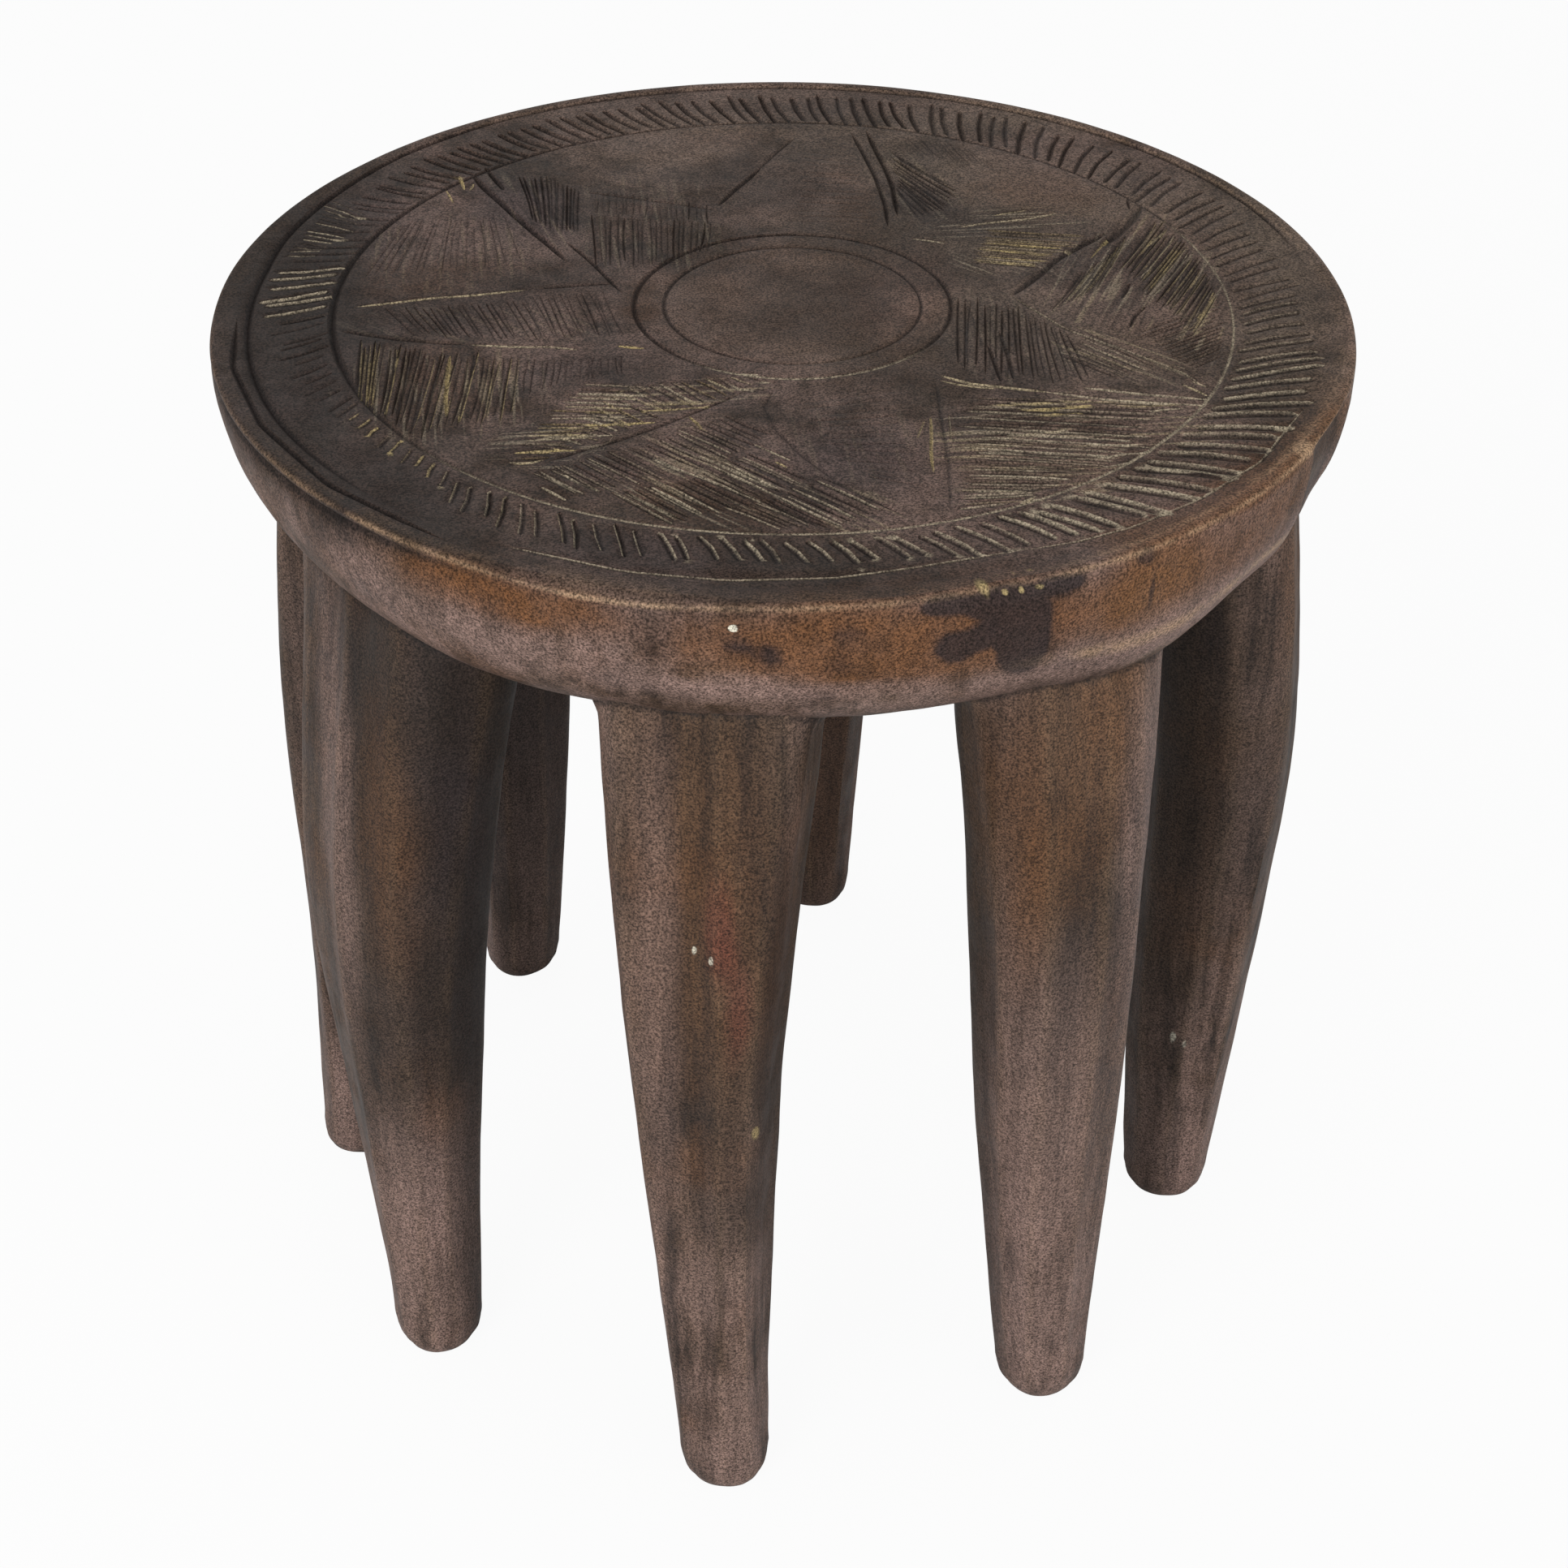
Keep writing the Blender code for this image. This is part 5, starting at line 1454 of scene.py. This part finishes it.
def wood_material(name, colours, patches, fibre, blotch, darker, dry, pale_from, shine):
    """Old hand-worn wood: fibres, mottling, placed patches, scratches, dusty cuts, wear and a waxy skin,
    with painted shade, sheen and light.
    """
    kit = ShaderKit(name)
    tone = {key: (*getattr(colours, key), 1.0) for key in WoodColours.__annotations__}
    point = kit.node('ShaderNodeTexCoord', output="Object")
    drift = kit.node('ShaderNodeTexNoise', {}, {"Vector": point, "Scale": 38.0, "Detail": 3.0}, "Color")
    drift = kit.node('ShaderNodeVectorMath', {"operation": 'SUBTRACT'},
                     {"Vector": drift, "Vector_001": (0.5, 0.5, 0.5)})
    loose = kit.node('ShaderNodeVectorMath', {"operation": 'MULTIPLY_ADD'},
                     {"Vector": drift, "Vector_001": (0.005, 0.005, 0.018), "Vector_002": point})
    height = kit.node('ShaderNodeSeparateXYZ', {}, {"Vector": loose}, "Z")
    long = kit.stretch(loose, fibre)
    streak = kit.noise(long, 1.0, 5.0, 0.6)
    fine = kit.noise(kit.stretch(loose, tuple(3.4 * share for share in fibre)), 1.0, 3.0, 0.6)
    mottle = kit.noise(loose, 60.0, 5.0, 0.65)
    cloud = kit.noise(point, 16.0, 3.0, 0.55)
    patchy = kit.noise(kit.stretch(loose, tuple(0.25 * share for share in fibre)), 1.0, 4.0, 0.6)
    grit = kit.noise(point, 1300.0, 2.0, 0.7)
    grain = streak * (1.0 - blotch) + mottle * blotch
    tint = kit.mix(kit.mask(grain, 0.28 + darker, 0.62 + darker), tone["deep"], tone["brown"])
    tint = kit.mix(kit.mask(cloud, 0.45, 0.70) * kit.mask(mottle, 0.38, 0.66) * 0.30, tint, tone["haze"])
    tint = kit.mix(kit.mask(patchy, 0.46, 0.70) * dry, tint, tone["olive"])
    tint = kit.mix(kit.mask(kit.noise(loose, 22.0, 3.0), 0.50, 0.74) * 0.40, tint, tone["warm"])
    # painted sheen along the legs' outer edges
    edge_sheen = kit.value("edge") * kit.mask(streak * 0.5 + cloud * 0.5, 0.32, 0.60)
    tint = kit.mix(edge_sheen * 0.52, tint, tone["pale"])
    # paler by height: on the legs, dry worn wood towards the foot with painted light from the floor
    pale_by_height = kit.mask(height, pale_from, 0.02) * kit.mask(streak * 0.5 + cloud * 0.5, 0.36, 0.58)
    tint = kit.mix(pale_by_height * 0.80, tint, tone["pale"])
    coarse = kit.mask(grain, 0.26, 0.60)
    for key in TONES:
        cover = kit.value("tone_" + key) * (0.62 + 0.38 * coarse)
        if key == "stain_and_shade":
            cover = kit.mask(kit.value("tone_stain_and_shade") + (mottle - 0.5) * 0.7, 0.20, 0.66) * 0.80
        tint = kit.mix(cover, tint, tone[key])
    for centre, size, turn, key, strength, soft in patches:
        if not is_wide(size):
            place = (centre[0] * RADIUS, centre[1] * RADIUS, RIM_TOP + centre[2] * RADIUS)
            inside = kit.patch(loose, place, tuple(half * RADIUS for half in size), turn, soft)
            tint = kit.mix(inside * strength, tint, tone[key])
    tint = kit.mix(kit.mask(fine, 0.32, 0.70) * 0.30, tint, tone["deep"])
    tint = kit.mix(kit.mask(patchy, 0.48, 0.30) * 0.22, tint, tone["stain_and_shade"])
    tint = kit.mix(kit.value("soil") * (0.35 + 0.35 * kit.mask(cloud, 0.60, 0.42)), tint, tone["deep"])
    run = kit.node('ShaderNodeCombineXYZ', {},
                   {"X": kit.value("along") * 26.0, "Y": kit.value("across") * 470.0})
    lines = kit.noise(run, 1.0, 1.0, 0.5, 0.25)
    pale = kit.mask(lines, 0.54, 0.68) * kit.value("scratch_pale")
    dark = kit.mask(lines, 0.47, 0.34) * kit.value("scratch_dark")
    tint = kit.mix(dark * 0.75, tint, tone["deep"])
    tint = kit.mix(pale * 0.8, tint, kit.mix(kit.mask(cloud, 0.45, 0.58) * 0.5, tone["dust"], tone["ochre"]))
    # painted shade under the seat and on the inner faces of the legs
    tint = kit.mix(kit.value("painted_shade") * 0.62, tint, tone["deep"])
    wear = kit.value("wear") * kit.mask(mottle, 0.26, 0.60)
    tint = kit.mix(wear * 0.85, tint, tone["gold_and_highlight"])
    # painted shade in the cuts, the creases under the seat, the undercut and the fold
    tint = kit.mix(kit.mask(kit.value("cut"), 0.02, 0.60) * 0.60, tint, tone["shade"])
    # pale and yellow dust in the cuts; on one wall of each stroke it also paints that wall's light
    flecks = 0.40 + 0.50 * kit.mask(kit.noise(point, 170.0, 3.0, 0.7), 0.34, 0.60)
    broken = kit.mask(kit.value("cut"), 0.01, 0.08) * flecks
    tint = kit.mix(kit.mask(kit.value("dust"), 0.12, 0.75) * broken, tint, tone["dust"])
    tint = kit.mix(kit.mask(kit.value("ochre"), 0.12, 0.75) * broken, tint, tone["ochre"])
    tint = kit.node('ShaderNodeVectorMath', {"operation": 'SCALE'},
                    {"Vector": tint, "Scale": 0.26 + 1.52 * kit.mask(grit, 0.30, 0.72)})
    rough = 0.46 + 0.16 * kit.mask(mottle, 0.35, 0.7) - 0.12 * wear
    rough = rough + 0.15 * kit.mask(kit.value("dust"), 0.1, 0.5)
    relief = streak * 0.5 + fine * 0.35 + mottle * 0.4 + kit.noise(point, 480.0, 3.0, 0.6) * 0.3
    relief = relief + pale * 0.4 - dark * 0.5
    bump = kit.node('ShaderNodeBump', {}, {"Strength": 0.45, "Distance": 0.0007, "Height": relief})
    shader = kit.node('ShaderNodeBsdfPrincipled', {}, {
        "Base Color": tint, "Roughness": rough, "Normal": bump, "Specular IOR Level": shine,
    })
    kit.node('ShaderNodeOutputMaterial', {}, {"Surface": shader})
    return kit.material


class STOOL_OT_seat(bpy.types.Operator):
    """Carve the seat: its rim, side and underside, and the star cut into its top"""
    bl_idname = "stool.carve_seat"
    bl_label = "Carve seat"

    def execute(self, context):
        patches = top_patches() + rim_patches()
        points, faces, masks = seat_surface(context.scene.stool_seat, patches)
        seat = new_piece("carved_seat", points, faces, masks)
        tidy_mesh(seat, 1e-5)
        material = wood_material("seat_wood", context.scene.stool_wood, patches, **SEAT_WOOD)
        dress(seat, "seat", material)
        return {'FINISHED'}


class STOOL_OT_legs(bpy.types.Operator):
    """Hew the eight legs from their solids, with facets, tool marks and a cut line under the seat"""
    bl_idname = "stool.hew_legs"
    bl_label = "Hew legs"

    def execute(self, context):
        material = wood_material("leg_wood", context.scene.stool_wood, LEG_PATCHES, **LEG_WOOD)
        nodes = sorted(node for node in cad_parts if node.startswith("leg_"))
        if not nodes:
            raise RuntimeError("The frame holds no leg to dress")
        sizes, seat = context.scene.stool_legs, context.scene.stool_seat
        for seed, node in enumerate(nodes, start=1):
            points, faces, masks = leg_surface(node, seed, sizes, seat)
            leg = new_piece("hewn_" + node, points, faces, masks)
            tidy_mesh(leg, 1e-6)
            dress(leg, node, material)
        return {'FINISHED'}


# Lamps: name, size in metres, power in watts and place
LAMPS = (
    ("key_light", 1.0, 21.0, (-0.9, -1.7, 1.25)),
    ("fill_light", 1.6, 13.0, (1.6, -1.7, 0.8)),
    ("back_light", 1.4, 5.0, (-0.5, 1.5, 1.9)),
)


def camera_matrix(stage):
    """Where the camera stands and how it is turned."""
    level = math.cos(stage.pitch)
    forward = Vector((math.sin(stage.yaw) * level, math.cos(stage.yaw) * level, -math.sin(stage.pitch)))
    right = Vector((math.cos(stage.yaw), -math.sin(stage.yaw), 0.0))
    up = right.cross(forward)
    side = right * math.cos(stage.roll) + up * math.sin(stage.roll)
    top = up * math.cos(stage.roll) - right * math.sin(stage.roll)
    place = Vector((0.0, -stage.distance * math.cos(stage.elevation),
                    RIM_TOP + stage.distance * math.sin(stage.elevation)))
    matrix = Matrix((side, top, -forward)).transposed().to_4x4()
    matrix.translation = place
    return matrix


class STOOL_OT_stage(bpy.types.Operator):
    """Set the floor, the soft light and the camera"""
    bl_idname = "stool.set_stage"
    bl_label = "Set stage"

    def execute(self, context):
        stage = context.scene.stool_stage
        self.floor(stage)
        self.world(context, stage)
        for name, size, power, place in LAMPS:
            self.lamp(name, size, power, place)
        data = bpy.data.cameras.new("camera")
        data.sensor_width = SENSOR_MM
        data.lens = stage.focal_pixels / PHOTO_PIXELS * data.sensor_width
        camera = bpy.data.objects.new("camera", data)
        camera.matrix_world = camera_matrix(stage)
        context.scene.collection.objects.link(camera)
        context.scene.camera = camera
        context.scene.view_settings.view_transform = 'Standard'
        return {'FINISHED'}

    def floor(self, stage):
        half = stage.floor_size / 2
        # the floor doesn't lie in the same plane as the soles
        low = -stage.floor_drop
        corners = [(-half, -half, low), (half, -half, low), (half, half, low), (-half, half, low)]
        floor = new_piece("floor", corners, [(0, 1, 2, 3)], {})
        kit = ShaderKit("floor_paint")
        seen = kit.node('ShaderNodeLightPath', output="Is Camera Ray")
        shown = kit.node('ShaderNodeEmission', {}, {"Color": (1.0, 1.0, 1.0, 1.0), "Strength": 1.0})
        matte = kit.node('ShaderNodeBsdfDiffuse', {}, {"Color": (*stage.floor_colour, 1.0)})
        surface = kit.node('ShaderNodeMixShader', {}, {
            "Fac": seen * stage.floor_white, "Shader": matte, "Shader_001": shown,
        })
        kit.node('ShaderNodeOutputMaterial', {}, {"Surface": surface})
        floor.data.materials.append(kit.material)

    def world(self, context, stage):
        world = bpy.data.worlds.new("white_room")
        world.use_nodes = True
        tree = world.node_tree
        tree.nodes.clear()
        rays = tree.nodes.new('ShaderNodeLightPath')
        light = tree.nodes.new('ShaderNodeBackground')
        light.inputs["Strength"].default_value = stage.world_light
        white = tree.nodes.new('ShaderNodeBackground')
        mixed = tree.nodes.new('ShaderNodeMixShader')
        output = tree.nodes.new('ShaderNodeOutputWorld')
        light.inputs["Color"].default_value = (1.0, 1.0, 1.0, 1.0)
        white.inputs["Color"].default_value = (1.0, 1.0, 1.0, 1.0)
        tree.links.new(rays.outputs["Is Camera Ray"], mixed.inputs[0])
        tree.links.new(light.outputs[0], mixed.inputs[1])
        tree.links.new(white.outputs[0], mixed.inputs[2])
        tree.links.new(mixed.outputs[0], output.inputs[0])
        context.scene.world = world

    def lamp(self, name, size, power, place):
        data = bpy.data.lights.new(name, 'AREA')
        data.size = size
        data.energy = power
        lamp = bpy.data.objects.new(name, data)
        lamp.location = place
        aim = Vector((0.0, 0.0, RIM_TOP / 2)) - Vector(place)
        lamp.rotation_mode = 'QUATERNION'
        lamp.rotation_quaternion = aim.to_track_quat('-Z', 'Y')
        bpy.context.scene.collection.objects.link(lamp)


class STOOL_PT_panel(bpy.types.Panel):
    """Lists the steps and their sizes in the 3D view's sidebar"""
    bl_idname = "STOOL_PT_panel"
    bl_label = "Carved stool"
    bl_space_type = 'VIEW_3D'
    bl_region_type = 'UI'
    bl_category = "Stool"

    def draw(self, context):
        layout = self.layout
        steps = {"stool_seat": STOOL_OT_seat, "stool_legs": STOOL_OT_legs, "stool_stage": STOOL_OT_stage}
        for group in GROUPS:
            step = steps.get(group)
            box = layout.box()
            settings = getattr(context.scene, group)
            for key in settings.__annotations__:
                box.prop(settings, key)
            if step:
                box.operator(step.bl_idname)


GROUPS = {
    "stool_seat": SeatSizes,
    "stool_legs": LegSizes,
    "stool_wood": WoodColours,
    "stool_stage": StageSizes,
}
CLASSES = (*GROUPS.values(), STOOL_OT_seat, STOOL_OT_legs, STOOL_OT_stage, STOOL_PT_panel)


def register():
    for item in CLASSES:
        bpy.utils.register_class(item)
    for key, group in GROUPS.items():
        setattr(bpy.types.Scene, key, PointerProperty(type=group))


def unregister():
    for key in GROUPS:
        delattr(bpy.types.Scene, key)
    for item in reversed(CLASSES):
        bpy.utils.unregister_class(item)


def main():
    register()
    bpy.ops.stool.set_stage()
    bpy.ops.stool.carve_seat()
    bpy.ops.stool.hew_legs()


if __name__ == "__main__":
    main()
